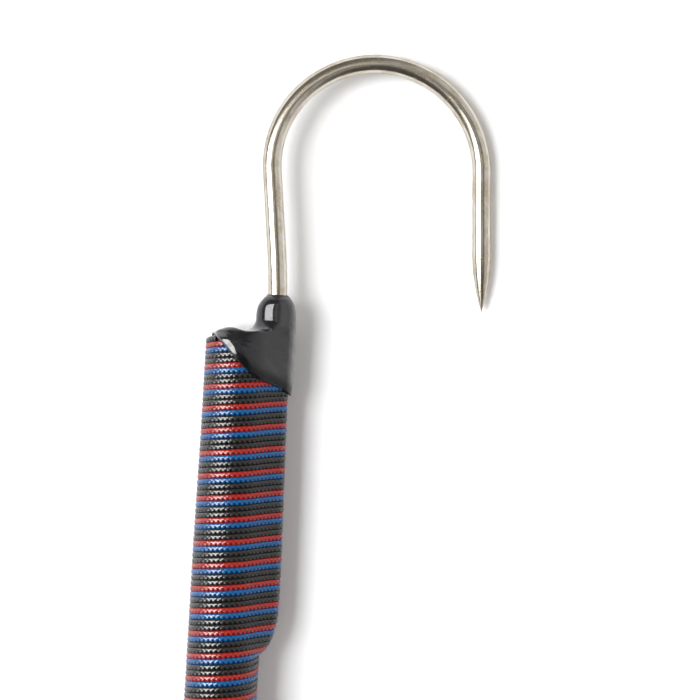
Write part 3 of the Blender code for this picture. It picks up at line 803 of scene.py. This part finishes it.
# %% One meridian of the boot
def boot_meridian(angle, depth):
    """Stops from below the boot to the wire, at a depth into the skin."""
    way = np.array([math.cos(angle), math.sin(angle)])
    pole, shank = BOOT_POLE - depth, BOOT_SHANK - depth
    reach = float(band_radius(np.array([angle]), pole, shank, SHANK_OFFSET)[0])
    foot = way * reach
    from_shank = math.atan2(foot[1], foot[0] - SHANK_OFFSET)
    neck_way = np.array([math.cos(from_shank), math.sin(from_shank)])
    # Up the side, which leans in on the side away from the shank.
    far_side = (0.5 - 0.5 * math.cos(angle)) ** 0.8
    stops = [(foot[0], BELOW_BOOT, foot[1])]
    lean_start = float(dip_height(max(foot[0], DIP_TURN * MM))) + PLAIN_STRIP
    lean_start = min(lean_start, HIGHEST_LEAN_START)
    for share in np.linspace(0.0, 1.0, 10):
        foot = way * (reach - BOOT_LEAN * far_side * share ** 1.15)
        stops.append((foot[0], lean_start * (1 - share), foot[1]))
    # Over the crown to the neck's foot.
    shank_middle = np.array([SHANK_OFFSET, 0.0])
    wall_reach = float(np.linalg.norm(foot - shank_middle))
    toward_pole = float(soft_step((0.1 - math.cos(from_shank)) / 0.6))
    neck_reach = (NECK_PROFILE[0][1] + NECK_FILLET[0][1] * toward_pole) * MM - depth
    collar = shank_middle + neck_way * min(neck_reach, wall_reach)
    for share in np.linspace(0.0, 1.0, 12)[:-1]:
        spot = foot + (collar - foot) * share
        stops.append((spot[0], float(crown_height(spot[0])) - depth, spot[1]))
    # Up the neck, whose front and back stand out a little further than its sides.
    facing = abs(math.sin(from_shank))
    neck_lines = (NECK_PROFILE, NECK_FRONT, NECK_FILLET)
    for height in sorted({height for line in neck_lines for height, _ in line}):
        radii = (float(np.interp(height, *zip(*line))) for line in neck_lines)
        side_radius, front_radius, spread = radii
        radius = side_radius + (front_radius - side_radius) * facing
        radius += min(spread * toward_pole, max(wall_reach / MM + depth / MM - radius, 0.0))
        height, radius = height * MM, max(radius * MM - depth, WIRE_RADIUS + 0.02 * MM)
        centre = float(neck_centre(height))
        stops.append((centre + neck_way[0] * radius, height, neck_way[1] * radius))
    return np.array(stops)


print("stops on a meridian:", len(boot_meridian(0.0, 0.0)))

# %% Cut each meridian at the dip line and skin the boot
BOOT_SIDES = 288
BOOT_ROWS = 150
POINT_SPACING = 0.1 * MM
ROWS_NEAR_RIM = 1.35
SIDES_NEAR_SHANK = 0.42
RIM_ROLL = 1.1 * MM
RIM_TAPER = 5.0 * MM
RIM_THINNING = 0.32
# Each skin's depth, and how widely the blur rounds its crown and its neck, in points.
SKIN_LAYERS = [(0.0, 18.0, 6.0), (BOOT_SKIN, 13.0, 5.0)]


def picked(points, known, places):
    """Points at new places along a line, from the places that its own points have."""
    return np.stack([np.interp(places, known, points[:, axis]) for axis in range(3)], axis=-1)


def blurred(points, spread):
    """Round a line's corners with a soft blur that keeps its two ends."""
    reach = int(3 * spread)
    weights = np.exp(-0.5 * (np.arange(-reach, reach + 1) / spread) ** 2)
    weights /= weights.sum()
    first = 2 * points[0] - points[1:reach + 1][::-1]
    last = 2 * points[-1] - points[-reach - 1:-1][::-1]
    padded = np.concatenate([first, points, last])
    return np.stack([np.convolve(padded[:, axis], weights, "valid") for axis in range(3)], axis=-1)


def softened(points, wide, narrow):
    """Blur the crown's corners widely, and the neck's top and the rim only a little."""
    up_neck = soft_step((points[:, 1:2] - 3.5 * MM) / (2.5 * MM))
    above_rim = points[:, 1:2] - dip_height(np.maximum(points[:, 0:1], DIP_TURN * MM))
    near_rim = 1 - ramp(above_rim, 1.0, 4.0 * MM, 2.0 * MM)
    share = np.maximum(up_neck, near_rim)
    return blurred(points, wide) * (1 - share) + blurred(points, narrow) * share


def above_dip(points):
    """How far points lie above the dip line."""
    return points[:, 1] - dip_height(points[:, 0])


def boot_row(angle, depth, wide, narrow):
    """Points of one meridian from the rim to the wire, at a depth into the skin."""
    line = boot_meridian(angle, depth)
    travelled = distances_along(line)
    line = picked(line, travelled, np.arange(0.0, travelled[-1], POINT_SPACING))
    line = softened(line, wide, narrow)
    line = line[int(np.argmax(above_dip(line) > 0.0)):]
    shares = np.linspace(0.0, 1.0, BOOT_ROWS) ** ROWS_NEAR_RIM
    return picked(line, np.arange(len(line)), shares * (len(line) - 1))


def boot_grid():
    """Rows of points: up the outside from the rim, then down the inside and back to the rim."""
    even = np.arange(BOOT_SIDES) / BOOT_SIDES * 2 * math.pi
    angles = even - SIDES_NEAR_SHANK * np.sin(even)
    outer, inner = (
        np.stack([boot_row(float(angle), *layer) for angle in angles], axis=1)
        for layer in SKIN_LAYERS
    )
    travelled = distances_along(outer)
    roll = np.clip(travelled / RIM_ROLL, 0.0, 1.0)
    thick = np.sqrt(np.clip(1 - (1 - roll) ** 2, 0.0, 1.0))
    thick *= 1 - RIM_THINNING * (1 - np.clip(travelled / RIM_TAPER, 0.0, 1.0)) ** 2
    swell = 0.12 * MM * np.exp(-((travelled - 0.8 * MM) / (0.6 * MM)) ** 2)
    depth = outer - inner
    out = unit(depth)
    outer = inner + depth * thick[..., None] + out * (swell * thick)[..., None]
    return np.concatenate([outer, inner[::-1][:-1]]), travelled, out


BOOT_POINTS, BOOT_TRAVEL, BOOT_OUT = boot_grid()
print("boot grid:", BOOT_POINTS.shape)

# %% Fold, seat and dress the boot
# Each fold runs from one place to another, and has a width and a height, all in mm.
FOLDS = [
    (-3.0, -1.5, 8.5, -4.2, 0.75, 0.22),
    (-5.0, -4.2, 6.5, -7.5, 0.9, -0.16),
    (0.5, 0.2, 9.0, -1.2, 0.6, -0.18),
    (-7.5, -0.6, -2.0, -3.6, 0.7, 0.18),
    (4.0, -6.0, 9.5, -3.0, 0.8, 0.14),
]


def add_folds(points):
    """Soft creases and runs where the vinyl sagged between the crown and the neck."""
    x, y, z = (points[..., axis] / MM for axis in range(3))
    top = np.clip(z / 6.0, 0.0, 1.0)
    lift = np.zeros_like(x)
    for ax, ay, bx, by, width, height in FOLDS:
        run = np.array([bx - ax, by - ay])
        share = np.clip(((x - ax) * run[0] + (y - ay) * run[1]) / (run @ run), 0.0, 1.0)
        away = np.hypot(x - ax - run[0] * share, y - ay - run[1] * share)
        fade = np.sin(np.pi * np.clip(share, 0.02, 0.98)) ** 0.5
        lift += height * fade * np.exp(-(away / width) ** 2)
    wave = 0.05 * np.sin(0.55 * x + 0.4 * y) * np.sin(0.35 * y - 0.5 * z + 1.0)
    return (lift * top + wave) * MM


def grid_normals(points, outward):
    """Normals of a grid of points, turned to agree with a rough outward direction."""
    around = np.roll(points, -1, axis=1) - np.roll(points, 1, axis=1)
    normals = unit(np.cross(np.gradient(points, axis=0), around) + 1e-12)
    return normals * np.sign((normals * outward).sum(-1, keepdims=True))


SKIN_ROWS = BOOT_POINTS[:BOOT_ROWS]
FADE_IN = np.clip(BOOT_TRAVEL / (1.5 * MM), 0.0, 1.0)
SKIN_ROWS += grid_normals(SKIN_ROWS, BOOT_OUT) * (add_folds(SKIN_ROWS) * FADE_IN)[..., None]
BOOT = mesh_from_grid("nose_boot_skin", BOOT_POINTS, True)
RIM_FIELD = BOOT.data.attributes.new("above_rim", "FLOAT", "POINT")
RIM_FIELD.data.foreach_set("value", above_dip(BOOT_POINTS.reshape(-1, 3)) / MM)
seat_on_head(BOOT)
dress(BOOT, VINYL, "boot_vinyl", "nose_boot", smooth_below=70.0)

# %% [markdown]
# ## Turned pieces
# Sleeve, grips, rings, pole and cap are round about the pole's axis. Each could be a Screw
# modifier on a drawn profile. Extruding and scaling one ring along the profile gives the same
# shape with plain edit-mode steps, and leaves every edge ready for a bevel.

# %% Helper: follow a profile with one ring
def turned_piece(name, profile, sides=96, hollow=True):
    """Follow (radius, y) points; a hollow profile closes on itself, a solid one is capped."""
    radius, y = profile[0]
    piece = start_ring(name, radius, (0.0, y, 0.0), sides)
    if not hollow:
        bpy.ops.mesh.edge_face_add()
    for next_radius, next_y in profile[1:]:
        extrude_ring((0.0, next_y - y, 0.0), next_radius / radius, (0.0, next_y, 0.0))
        radius, y = next_radius, next_y
    if hollow:
        bpy.ops.mesh.select_all(action="SELECT")
        bpy.ops.mesh.select_non_manifold(extend=False, use_boundary=True, use_wire=False)
        bpy.ops.mesh.bridge_edge_loops()
    leave_outward()
    return piece


def along_pole(node):
    """The lowest and highest y of a CAD node, and its largest radius."""
    low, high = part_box(node)
    return low[1], high[1], max(high[0], -low[0])

# %% [markdown]
# ## Shrink sleeve
# Heat-shrink tube over the lashing's lower end keeps the cords from creeping. It takes on what is
# under it: the cords show through as low ribs, and where it steps down to the pole it narrows in
# a soft cone. The ribs are a formula on a finely cut sleeve, because they follow the same screw.

# %% Finish: shrink sleeve
SHRINK = Finish("shrink_sleeve_black", Specular_IOR_Level=0.5)
rub = SHRINK.noise(220.0, 4.0, 0.6, stretch=(1.0, 0.3, 1.0))
grain = SHRINK.noise(2400.0, 2.0)
worn = rub.between(0.45, 0.7)
SHRINK.set(Base_Color=SHRINK.blend(worn, (0.013, 0.013, 0.014), (0.030, 0.030, 0.031)))
SHRINK.set(Roughness=0.36 + 0.16 * rub)
SHRINK.bump(rub * 0.6 + grain * 0.25, 0.06 * MM, 0.5)

# %% Piece: shrink sleeve
SLEEVE_OUT = 15.95 * MM
SLEEVE_ON_POLE = 13.95 * MM
SLEEVE_WALL = 0.75 * MM
SLEEVE_RIB = 0.11 * MM
SLEEVE_PINCH = 0.035 * MM
SLEEVE_LOW, SLEEVE_HIGH, _ = along_pole("lashing_collar")
SLEEVE_STEP = HEAD_Y - 178.6 * MM
CONE_BELOW_STEP = 3.2 * MM
CONE_LENGTH = 4.0 * MM


def sleeve_radius(y):
    """Over the cords, then a soft cone, then on the pole."""
    over_cords = float(soft_step((y - SLEEVE_STEP + CONE_BELOW_STEP) / CONE_LENGTH))
    return SLEEVE_ON_POLE + (SLEEVE_OUT - SLEEVE_ON_POLE) * over_cords


def make_sleeve():
    heights = np.arange(SLEEVE_LOW, SLEEVE_HIGH + 1e-6, 0.2 * MM)
    profile = [(sleeve_radius(y), float(y)) for y in heights]
    profile[0] = (profile[0][0] - 0.35 * MM, profile[0][1])
    profile[-1] = (profile[-1][0] - 0.3 * MM, profile[-1][1])
    for y in (heights[-1], SLEEVE_STEP, SLEEVE_STEP - 3 * MM, heights[0]):
        profile.append((sleeve_radius(y) - SLEEVE_WALL, float(y)))
    piece = turned_piece("lashing_sleeve", profile, 144)
    for vertex in piece.data.vertices:
        x, y, z = vertex.co
        on_cords = float(soft_step((y - SLEEVE_STEP) / (2.0 * MM)))
        turn = math.atan2(z, x) - HOOK_ROLL
        cords_down = (y - HEAD_Y + FIRST_CORD_DROP) / CORD_PITCH + 4 * turn / (2 * math.pi) - 2
        rib = SLEEVE_RIB * math.cos(2 * math.pi * cords_down) * on_cords
        pinch = SLEEVE_PINCH * math.sin(9 * turn) * math.sin(5 * turn + 1.0) * (1 - on_cords)
        grow = 1 + (rib + pinch) / math.hypot(x, z)
        vertex.co = (x * grow, y, z * grow)
    return piece


dress(make_sleeve(), SHRINK, "shrink_sleeve", "lashing_collar")

# %% [markdown]
# ## The pole
# A fibreglass blank is rolled cloth, squeezed by a tape that is wound on and peeled off after
# curing. The tape leaves a fine spiral step under the clear finish, every few millimetres. That
# step is too small to model, so it is a bump, and the pole is a plain tube with eased ends.

# %% Finish: fibreglass
TAPE_STEP = 3.2 * MM
GLASS = Finish("pole_fibreglass_clear", Specular_IOR_Level=0.5, Coat_Roughness=0.07)
x, y, z = GLASS.split(GLASS.place)
turn = GLASS.maths("ARCTAN2", z, x) / (2 * math.pi)
tape = (y / TAPE_STEP + turn).fraction()
step = tape.between(0.0, 0.12) * (1 - tape.between(0.75, 1.0, 0.0, 0.6))
fibres = GLASS.noise(2600.0, 3.0, 0.6, stretch=(1.0, 0.06, 1.0))
cloudy = GLASS.noise(45.0, 3.0)
body = GLASS.blend(fibres.between(0.35, 0.7), (0.012, 0.013, 0.016), (0.034, 0.036, 0.042))
GLASS.set(Base_Color=GLASS.blend(step * 0.35, body, (0.055, 0.057, 0.062)))
GLASS.set(Roughness=0.28 + 0.14 * cloudy)
GLASS.set(Coat_Weight=0.85 - 0.3 * cloudy)
GLASS.bump(step * 0.7 + fibres * 0.12, 0.05 * MM, 0.6)

# %% Piece: the pole
POLE_LOW, POLE_HIGH, _ = along_pole("pole_tube")
POLE_BORE = POLE_RADIUS - POLE_WALL
POLE_EASE = 0.4 * MM
POLE_NOSE = 3.0 * MM
POLE = turned_piece("pole_blank", [
    (POLE_RADIUS, POLE_LOW + POLE_EASE),
    (POLE_RADIUS, POLE_HIGH - POLE_NOSE),
    (POLE_RADIUS - POLE_NOSE, POLE_HIGH),
    (POLE_BORE, POLE_HIGH),
    (POLE_BORE, POLE_LOW),
    (POLE_RADIUS - POLE_EASE, POLE_LOW),
], 128)
dress(POLE, GLASS, "pole_fibreglass", "pole_tube")

# %% [markdown]
# ## Foam grips
# The grips are closed-cell foam tubes, pushed on with glue and sanded round. The surface is matt
# and finely pored, a little shinier where it is held, and the ends are tapered so that they don't
# lift. Each grip starts as a ring at the CAD node's low end.

# %% Finish: closed-cell foam
FOAM = Finish("grip_closed_cell_foam", Specular_IOR_Level=0.35)
inputs = {"Vector": FOAM.place, "Scale": 1900.0}
cells = FOAM.add("ShaderNodeTexVoronoi", {"feature": "F1"}, inputs, "Distance")
large = FOAM.noise(620.0, 4.0, 0.7)
handled = FOAM.noise(26.0, 3.0, 0.55, stretch=(1.0, 0.25, 1.0))
shaded_pores = 1 - large.between(0.30, 0.42)
shine = handled.between(0.45, 0.70)
mottled = FOAM.blend(shine, (0.016, 0.016, 0.018), (0.034, 0.034, 0.036))
# Painted shade: the pores are darkened almost to black.
FOAM.set(Base_Color=FOAM.blend(shaded_pores * 0.7, mottled, (0.004, 0.004, 0.004)))
FOAM.set(Roughness=0.92 - 0.22 * shine)
FOAM.bump(cells * -0.35 - shaded_pores * 0.8 + large * 0.4, 0.16 * MM, 0.8)

# %% Pieces: the two grips
GRIP_RADIUS = 19.0 * MM
GRIP_BORE = 13.0 * MM
GRIP_TAPER = 9.0 * MM
GRIP_END = 16.5 * MM
GROOVE_FLOOR = GRIP_RADIUS - 0.55 * MM
GROOVES_IN = (18.0 * MM, 14.0 * MM)
# Radii with their share of the taper's length, and radii with their way from a groove's middle.
TAPER = [
    (GRIP_END, 0.0), (GRIP_END + 1.1 * MM, 0.35), (GRIP_END + 2.05 * MM, 0.72), (GRIP_RADIUS, 1.0),
]
GROOVE = [(GRIP_RADIUS, -1.0), (GROOVE_FLOOR, -0.35), (GROOVE_FLOOR, 0.35), (GRIP_RADIUS, 1.0)]


def make_grip(name, node, tapered_low):
    """A foam tube with softly tapered ends and two shallow grooves beside each taper."""
    low, high, _ = along_pole(node)
    profile = [(GRIP_BORE, low)]
    if tapered_low:
        profile += [(radius, low + GRIP_TAPER * share) for radius, share in TAPER]
        for spot in reversed(GROOVES_IN):
            profile += [(radius, low + spot + side * MM) for radius, side in GROOVE]
    else:
        profile += [(GRIP_RADIUS - 0.5 * MM, low), (GRIP_RADIUS, low + 0.8 * MM)]
    for spot in GROOVES_IN:
        profile += [(radius, high - spot + side * MM) for radius, side in GROOVE]
    profile += [(radius, high - GRIP_TAPER * share) for radius, share in reversed(TAPER)]
    piece = turned_piece(name, profile + [(GRIP_BORE, high)], 112)
    bevel_edges(piece, 0.5 * MM, 3, sharper_than=12)
    return piece


for node, two_tapers in (("fore_grip", True), ("butt_grip", False)):
    dress(make_grip(node + "_foam", node, two_tapers), FOAM, "grip_foam", node, smooth_below=50.0)

# %% [markdown]
# ## Trim rings
# The rings beside the grips are turned aluminium with a dark anodised skin. A lathe leaves fine
# lines round them and a bright bevel, and two small grooves catch the light.

# %% Finish: anodised aluminium
ANODISED = Finish("trim_ring_anodised", Metallic=1.0)
lines = ANODISED.noise(9000.0, 2.0, stretch=(0.02, 1.0, 0.02))
rubbed = ANODISED.noise(300.0, 4.0, 0.6).between(0.52, 0.70)
tool_marks = (ANODISED.split(ANODISED.place)[1] * 14000.0).sine()
ANODISED.set(Base_Color=ANODISED.blend(rubbed, (0.085, 0.088, 0.098), (0.24, 0.24, 0.25)))
ANODISED.set(Roughness=0.26 + 0.14 * lines)
ANODISED.bump(lines + tool_marks * 0.3, 0.01 * MM, 0.5)

# %% Pieces: the three rings
RING_CHAMFER = 0.7 * MM
RING_BACK_CHAMFER = 0.9 * MM
NOTCH_DEPTH = 0.32 * MM


def make_trim_ring(name, node):
    """A turned ring with chamfered edges and two small grooves."""
    low, high, outside = along_pole(node)
    middle = (low + high) / 2
    profile = [(GRIP_BORE, low), (outside - RING_CHAMFER, low), (outside, low + RING_CHAMFER)]
    for spot in (-0.7 * MM, 0.7 * MM):
        for radius, side in ((outside, -0.25), (outside - NOTCH_DEPTH, 0.0), (outside, 0.25)):
            profile.append((radius, middle + spot + side * MM))
    profile += [(outside, high - RING_BACK_CHAMFER), (outside - RING_BACK_CHAMFER, high)]
    piece = turned_piece(name, profile + [(GRIP_BORE, high)], 112)
    bevel_edges(piece, 0.1 * MM, 2, sharper_than=25)
    return piece


for node in ("fore_grip_ring_front", "fore_grip_ring_rear", "butt_grip_ring"):
    dress(make_trim_ring(node + "_turned", node), ANODISED, "trim_ring", node, smooth_below=30.0)

# %% [markdown]
# ## Butt cap
# The cap is moulded rubber. Grooves round its side help wet hands, and its end face is flat, so
# that the gaff can stand on it. After following the profile, the end face is inset and pressed in
# a little to leave the shallow ring that the mould's ejector makes.

# %% Finish: moulded rubber
RUBBER = Finish("cap_moulded_rubber", Specular_IOR_Level=0.4)
x, _, z = RUBBER.split(RUBBER.place)
inside_rim = 1 - ((x * x + z * z) ** 0.5).between(18.2 * MM, 18.9 * MM)
dust = inside_rim * RUBBER.noise(240.0, 3.0).between(0.4, 0.7)
grain = RUBBER.noise(2600.0, 3.0, 0.6)
scuffs = RUBBER.noise(340.0, 4.0, 0.65, stretch=(1.0, 0.2, 1.0)).between(0.56, 0.70)
worn = RUBBER.blend(scuffs, (0.012, 0.012, 0.012), (0.045, 0.044, 0.043))
RUBBER.set(Base_Color=RUBBER.blend(dust * 0.5, worn, (0.075, 0.070, 0.062)))
RUBBER.set(Roughness=0.62 + 0.18 * grain)
RUBBER.bump(grain + scuffs * 0.3, 0.05 * MM, 0.6)

# %% Piece: the cap
CAP_WALL = 4.0 * MM
CAP_ROUND = 2.5 * MM
CAP_GROOVE = [(0.0, 1.0), (0.65, 0.45), (0.8, 0.0), (0.65, -0.45), (0.0, -1.0)]
_, CAP_HIGH, CAP_RADIUS = along_pole("butt_cap")


def make_cap():
    """Follow the cap's profile down to its end face, then press the mould's ring into that."""
    profile = [(GRIP_BORE, CAP_WALL), (GRIP_BORE, CAP_HIGH), (CAP_RADIUS, CAP_HIGH)]
    for middle in (17.0 * MM, 12.0 * MM, 7.0 * MM):
        profile += [(CAP_RADIUS - inset * MM, middle + side * MM) for inset, side in CAP_GROOVE]
    for degrees in (0, 18, 36, 54, 72, 90):
        turn = math.radians(degrees)
        inset, up = CAP_ROUND * (1 - math.cos(turn)), CAP_ROUND * (1 - math.sin(turn))
        profile.append((CAP_RADIUS - inset, up))
    piece = turned_piece("butt_cap_moulded", profile, 112, hollow=False)
    bpy.ops.object.mode_set(mode="EDIT")
    bpy.ops.mesh.select_all(action="DESELECT")
    bpy.ops.mesh.select_mode(type="FACE")
    bpy.ops.object.mode_set(mode="OBJECT")
    discs = [face for face in piece.data.polygons if len(face.vertices) > 50]
    min(discs, key=lambda face: face.center.y).select = True
    bpy.ops.object.mode_set(mode="EDIT")
    for inset, depth in ((3.0, 0.0), (0.5, -0.4), (1.6, 0.0), (0.5, 0.4)):
        bpy.ops.mesh.inset(thickness=inset * MM, depth=depth * MM)
    leave_outward()
    bevel_edges(piece, 0.3 * MM, 3, sharper_than=35)
    return piece


dress(make_cap(), RUBBER, "cap_rubber", "butt_cap", smooth_below=45.0)

# %% [markdown]
# ## What is inside
# The plugs, the bedding epoxy and the whipping under the boot can't be seen in the finished gaff.
# They keep their CAD shapes and get plain but real finishes, for anyone who takes it apart.

# %% Finishes for the hidden CAD parts
def dress_hidden(name, dark, light, stretch, scale, roughness, depth, nodes):
    """Give hidden CAD parts one finish with a grain that may be drawn out along the pole."""
    hidden = Finish(name)
    grain = hidden.noise(scale, 4.0, 0.6, stretch=(1.0, stretch, 1.0))
    hidden.set(Base_Color=hidden.blend(grain.between(0.35, 0.65), dark, light))
    hidden.set(Roughness=roughness + 0.15 * grain)
    hidden.bump(grain, depth, 0.5)
    for node in nodes:
        for holder in frame["nodes"][node].material_slots:
            holder.material = hidden.material
    print(name, "is on", *nodes)


dress_hidden(
    "plug_hardwood_grain", (0.26, 0.14, 0.06), (0.50, 0.32, 0.16),
    0.06, 900.0, 0.55, 0.05 * MM, ("head_plug", "butt_plug"),
)
dress_hidden(
    "bedding_epoxy_amber", (0.36, 0.24, 0.10), (0.52, 0.38, 0.18),
    1.0, 260.0, 0.25, 0.02 * MM, ("bed_fillet_front", "bed_fillet_back"),
)
dress_hidden(
    "whipping_twine_waxed", (0.02, 0.018, 0.015), (0.07, 0.062, 0.05),
    3.0, 1500.0, 0.7, 0.08 * MM, ("neck_whipping",),
)

# %% [markdown]
# ## The studio
# The photograph is a plain catalogue shot on white, from straight above. Two soft lamps at the
# left do most of the work, and weak boards at the lower left and the right fill in. The polished
# wire and the glossy vinyl also mirror the room, so that is drawn to match: a long strip that only
# shows in gloss, and a dark warm world with a pale wall at the right, a patch overhead that leans
# a little, and white at the horizon. The ground is white paper. Near the gaff a camera sees it a
# little overexposed, as in the photograph, with its soft shadow. Further off it turns into a plain
# white backdrop. Mirrors and lenses see the same.

# %% Ground
PAPER_AS_SEEN = (1.207, 1.225, 1.26, 1.0)
WHITE = (1.0, 1.0, 1.0, 1.0)
NEAR_MIDDLE_Y = 0.52
NEAR_WIDTH, NEAR_LENGTH = 0.5, 0.9
PAPER = Finish("ground_paper")
rays = ("Is Camera Ray", "Is Glossy Ray", "Is Transmission Ray")
direct, mirrored, through = (PAPER.add("ShaderNodeLightPath", output=ray) for ray in rays)
shown = PAPER.maths("MINIMUM", direct + mirrored + through, 1.0)
tone = PAPER.blend(PAPER.noise(3.0, 2.0) * 0.1, (0.80, 0.80, 0.80), (0.78, 0.78, 0.78))
lit = PAPER.add("ShaderNodeBsdfDiffuse", {}, {"Color": tone})
seen = PAPER.add("ShaderNodeBsdfDiffuse", {}, {"Color": PAPER_AS_SEEN})
near = PAPER.add("ShaderNodeMixShader", {}, {0: shown, 1: lit, 2: seen})
x, y, _ = PAPER.split(PAPER.place)
away = ((x / NEAR_WIDTH) ** 2 + ((y - NEAR_MIDDLE_Y) / NEAR_LENGTH) ** 2) ** 0.5
far = PAPER.add("ShaderNodeEmission", {}, {"Color": WHITE, "Strength": 1.0})
inputs = {0: shown * away.between(0.8, 1.7), 1: near, 2: far}
surface = PAPER.add("ShaderNodeMixShader", {}, inputs)
PAPER.feed(PAPER.tree.nodes["Material Output"].inputs["Surface"], surface)

deselect_all()
bpy.ops.mesh.primitive_plane_add(size=40.0, location=(0.0, 0.5, GROUND_Z))
GROUND = bpy.context.active_object
GROUND.name = "ground"
bpy.ops.object.transform_apply()
GROUND.data.materials.append(PAPER.material)
print("ground at z, mm:", GROUND_Z / MM)

# %% World
WORLD = bpy.data.worlds.new("studio_room")
bpy.context.scene.world = WORLD
WORLD.use_nodes = True
ROOM = Bench(WORLD.node_tree)
WAY_X, WAY_Y, WAY_Z = ROOM.split(ROOM.add("ShaderNodeTexCoord", output="Generated"))
LEVEL = (WAY_X * WAY_X + WAY_Y * WAY_Y + 0.0001) ** 0.5
PATCH_LEAN = math.radians(8.0)


def toward(azimuth):
    """Cosine of the angle between a way's level part and an azimuth."""
    turn = math.radians(azimuth)
    return (WAY_X * math.cos(turn) + WAY_Y * math.sin(turn)) / LEVEL


near_wall = toward(294.0).between(0.10, 0.80)
pale_wall = toward(15.0).between(0.50, 0.97) * (1 - WAY_Z.between(0.78, 0.94))
low_left = toward(183.0).between(0.5, 0.9) * (1 - WAY_Z.between(0.08, 0.22))
up_patch = WAY_Y * math.sin(PATCH_LEAN) + WAY_Z * math.cos(PATCH_LEAN)
room = ROOM.blend(near_wall, (0.18, 0.165, 0.14), (0.08, 0.071, 0.058))
for mask, colour in (
    (pale_wall, (0.78, 0.76, 0.73)),
    (low_left, (0.20, 0.193, 0.182)),
    (up_patch.between(0.970, 0.9976), (0.95, 0.89, 0.80)),
    (1 - WAY_Z.between(0.05, 0.10), (1.0, 1.0, 1.0)),
):
    room = ROOM.blend(mask, room, colour)
BACKGROUND = WORLD.node_tree.nodes["Background"]
ROOM.feed(BACKGROUND.inputs["Color"], room)
ROOM.feed(BACKGROUND.inputs["Strength"], 1.0)
print("world ready:", WORLD.name)

# %% Lamps
HEAD_CENTRE = Vector((0.03, 0.92, 0.0))
LAMP_DISTANCE = 2.6


def add_softbox(name, azimuth, from_overhead, length, width, power, mirrored):
    """A rectangular lamp that faces the head; it either lights the scene or shows in its gloss."""
    turn, lean = math.radians(azimuth), math.radians(from_overhead)
    level = math.sin(lean)
    away = Vector((level * math.cos(turn), level * math.sin(turn), math.cos(lean)))
    lamp = bpy.data.lights.new(name, "AREA")
    lamp.shape = "RECTANGLE"
    lamp.size = width
    lamp.size_y = length
    lamp.energy = power
    holder = bpy.data.objects.new(name, lamp)
    bpy.context.scene.collection.objects.link(holder)
    holder.location = HEAD_CENTRE + away * LAMP_DISTANCE
    holder.rotation_euler = away.to_track_quat("Z", "Y").to_euler()
    holder.visible_camera = False
    holder.visible_glossy = mirrored
    holder.visible_diffuse = not mirrored


add_softbox("softbox_left_high", 175.0, 31.0, 1.1, 1.2, 47.0, False)
add_softbox("softbox_left_low", 175.0, 56.0, 1.15, 1.0, 10.0, False)
add_softbox("board_low_left", 224.0, 40.0, 1.5, 1.5, 8.0, False)
add_softbox("board_right", 15.0, 60.0, 1.5, 1.5, 5.0, False)
add_softbox("strip_in_the_gloss", 178.0, 42.5, 2.15, 1.2, 88.0, True)
print("lamps:", len(bpy.data.lights))

# %% [markdown]
# ## The camera
# The photograph is taken from straight above, about a metre up. Its frame is turned by three
# degrees against the pole, and the pole's end is left of the middle and just above it.

# %% Camera
CAMERA_PLACE = Vector((46.14 * MM, 913.82 * MM, 1008.0 * MM))
CAMERA_TURN = math.radians(3.32)
FOCAL_PIXELS = 2400.0
FRAME_PIXELS = 700.0
LENS = bpy.data.cameras.new("camera_above")
LENS.sensor_width = 36.0
LENS.lens = LENS.sensor_width * FOCAL_PIXELS / FRAME_PIXELS
LENS.clip_start = 0.01
LENS.clip_end = 100.0
CAMERA = bpy.data.objects.new("camera_above", LENS)
bpy.context.scene.collection.objects.link(CAMERA)
CAMERA.location = CAMERA_PLACE
CAMERA.rotation_euler = (0.0, 0.0, CAMERA_TURN)
bpy.context.scene.camera = CAMERA
bpy.context.scene.view_settings.view_transform = "Standard"
print("lens, mm:", round(LENS.lens, 2))

# %% [markdown]
# ## A last update
# The view layer is brought up to date once more. The dressed gaff has to stay inside
# the CAD model's box.

# %% Update the view layer
bpy.context.view_layer.update()
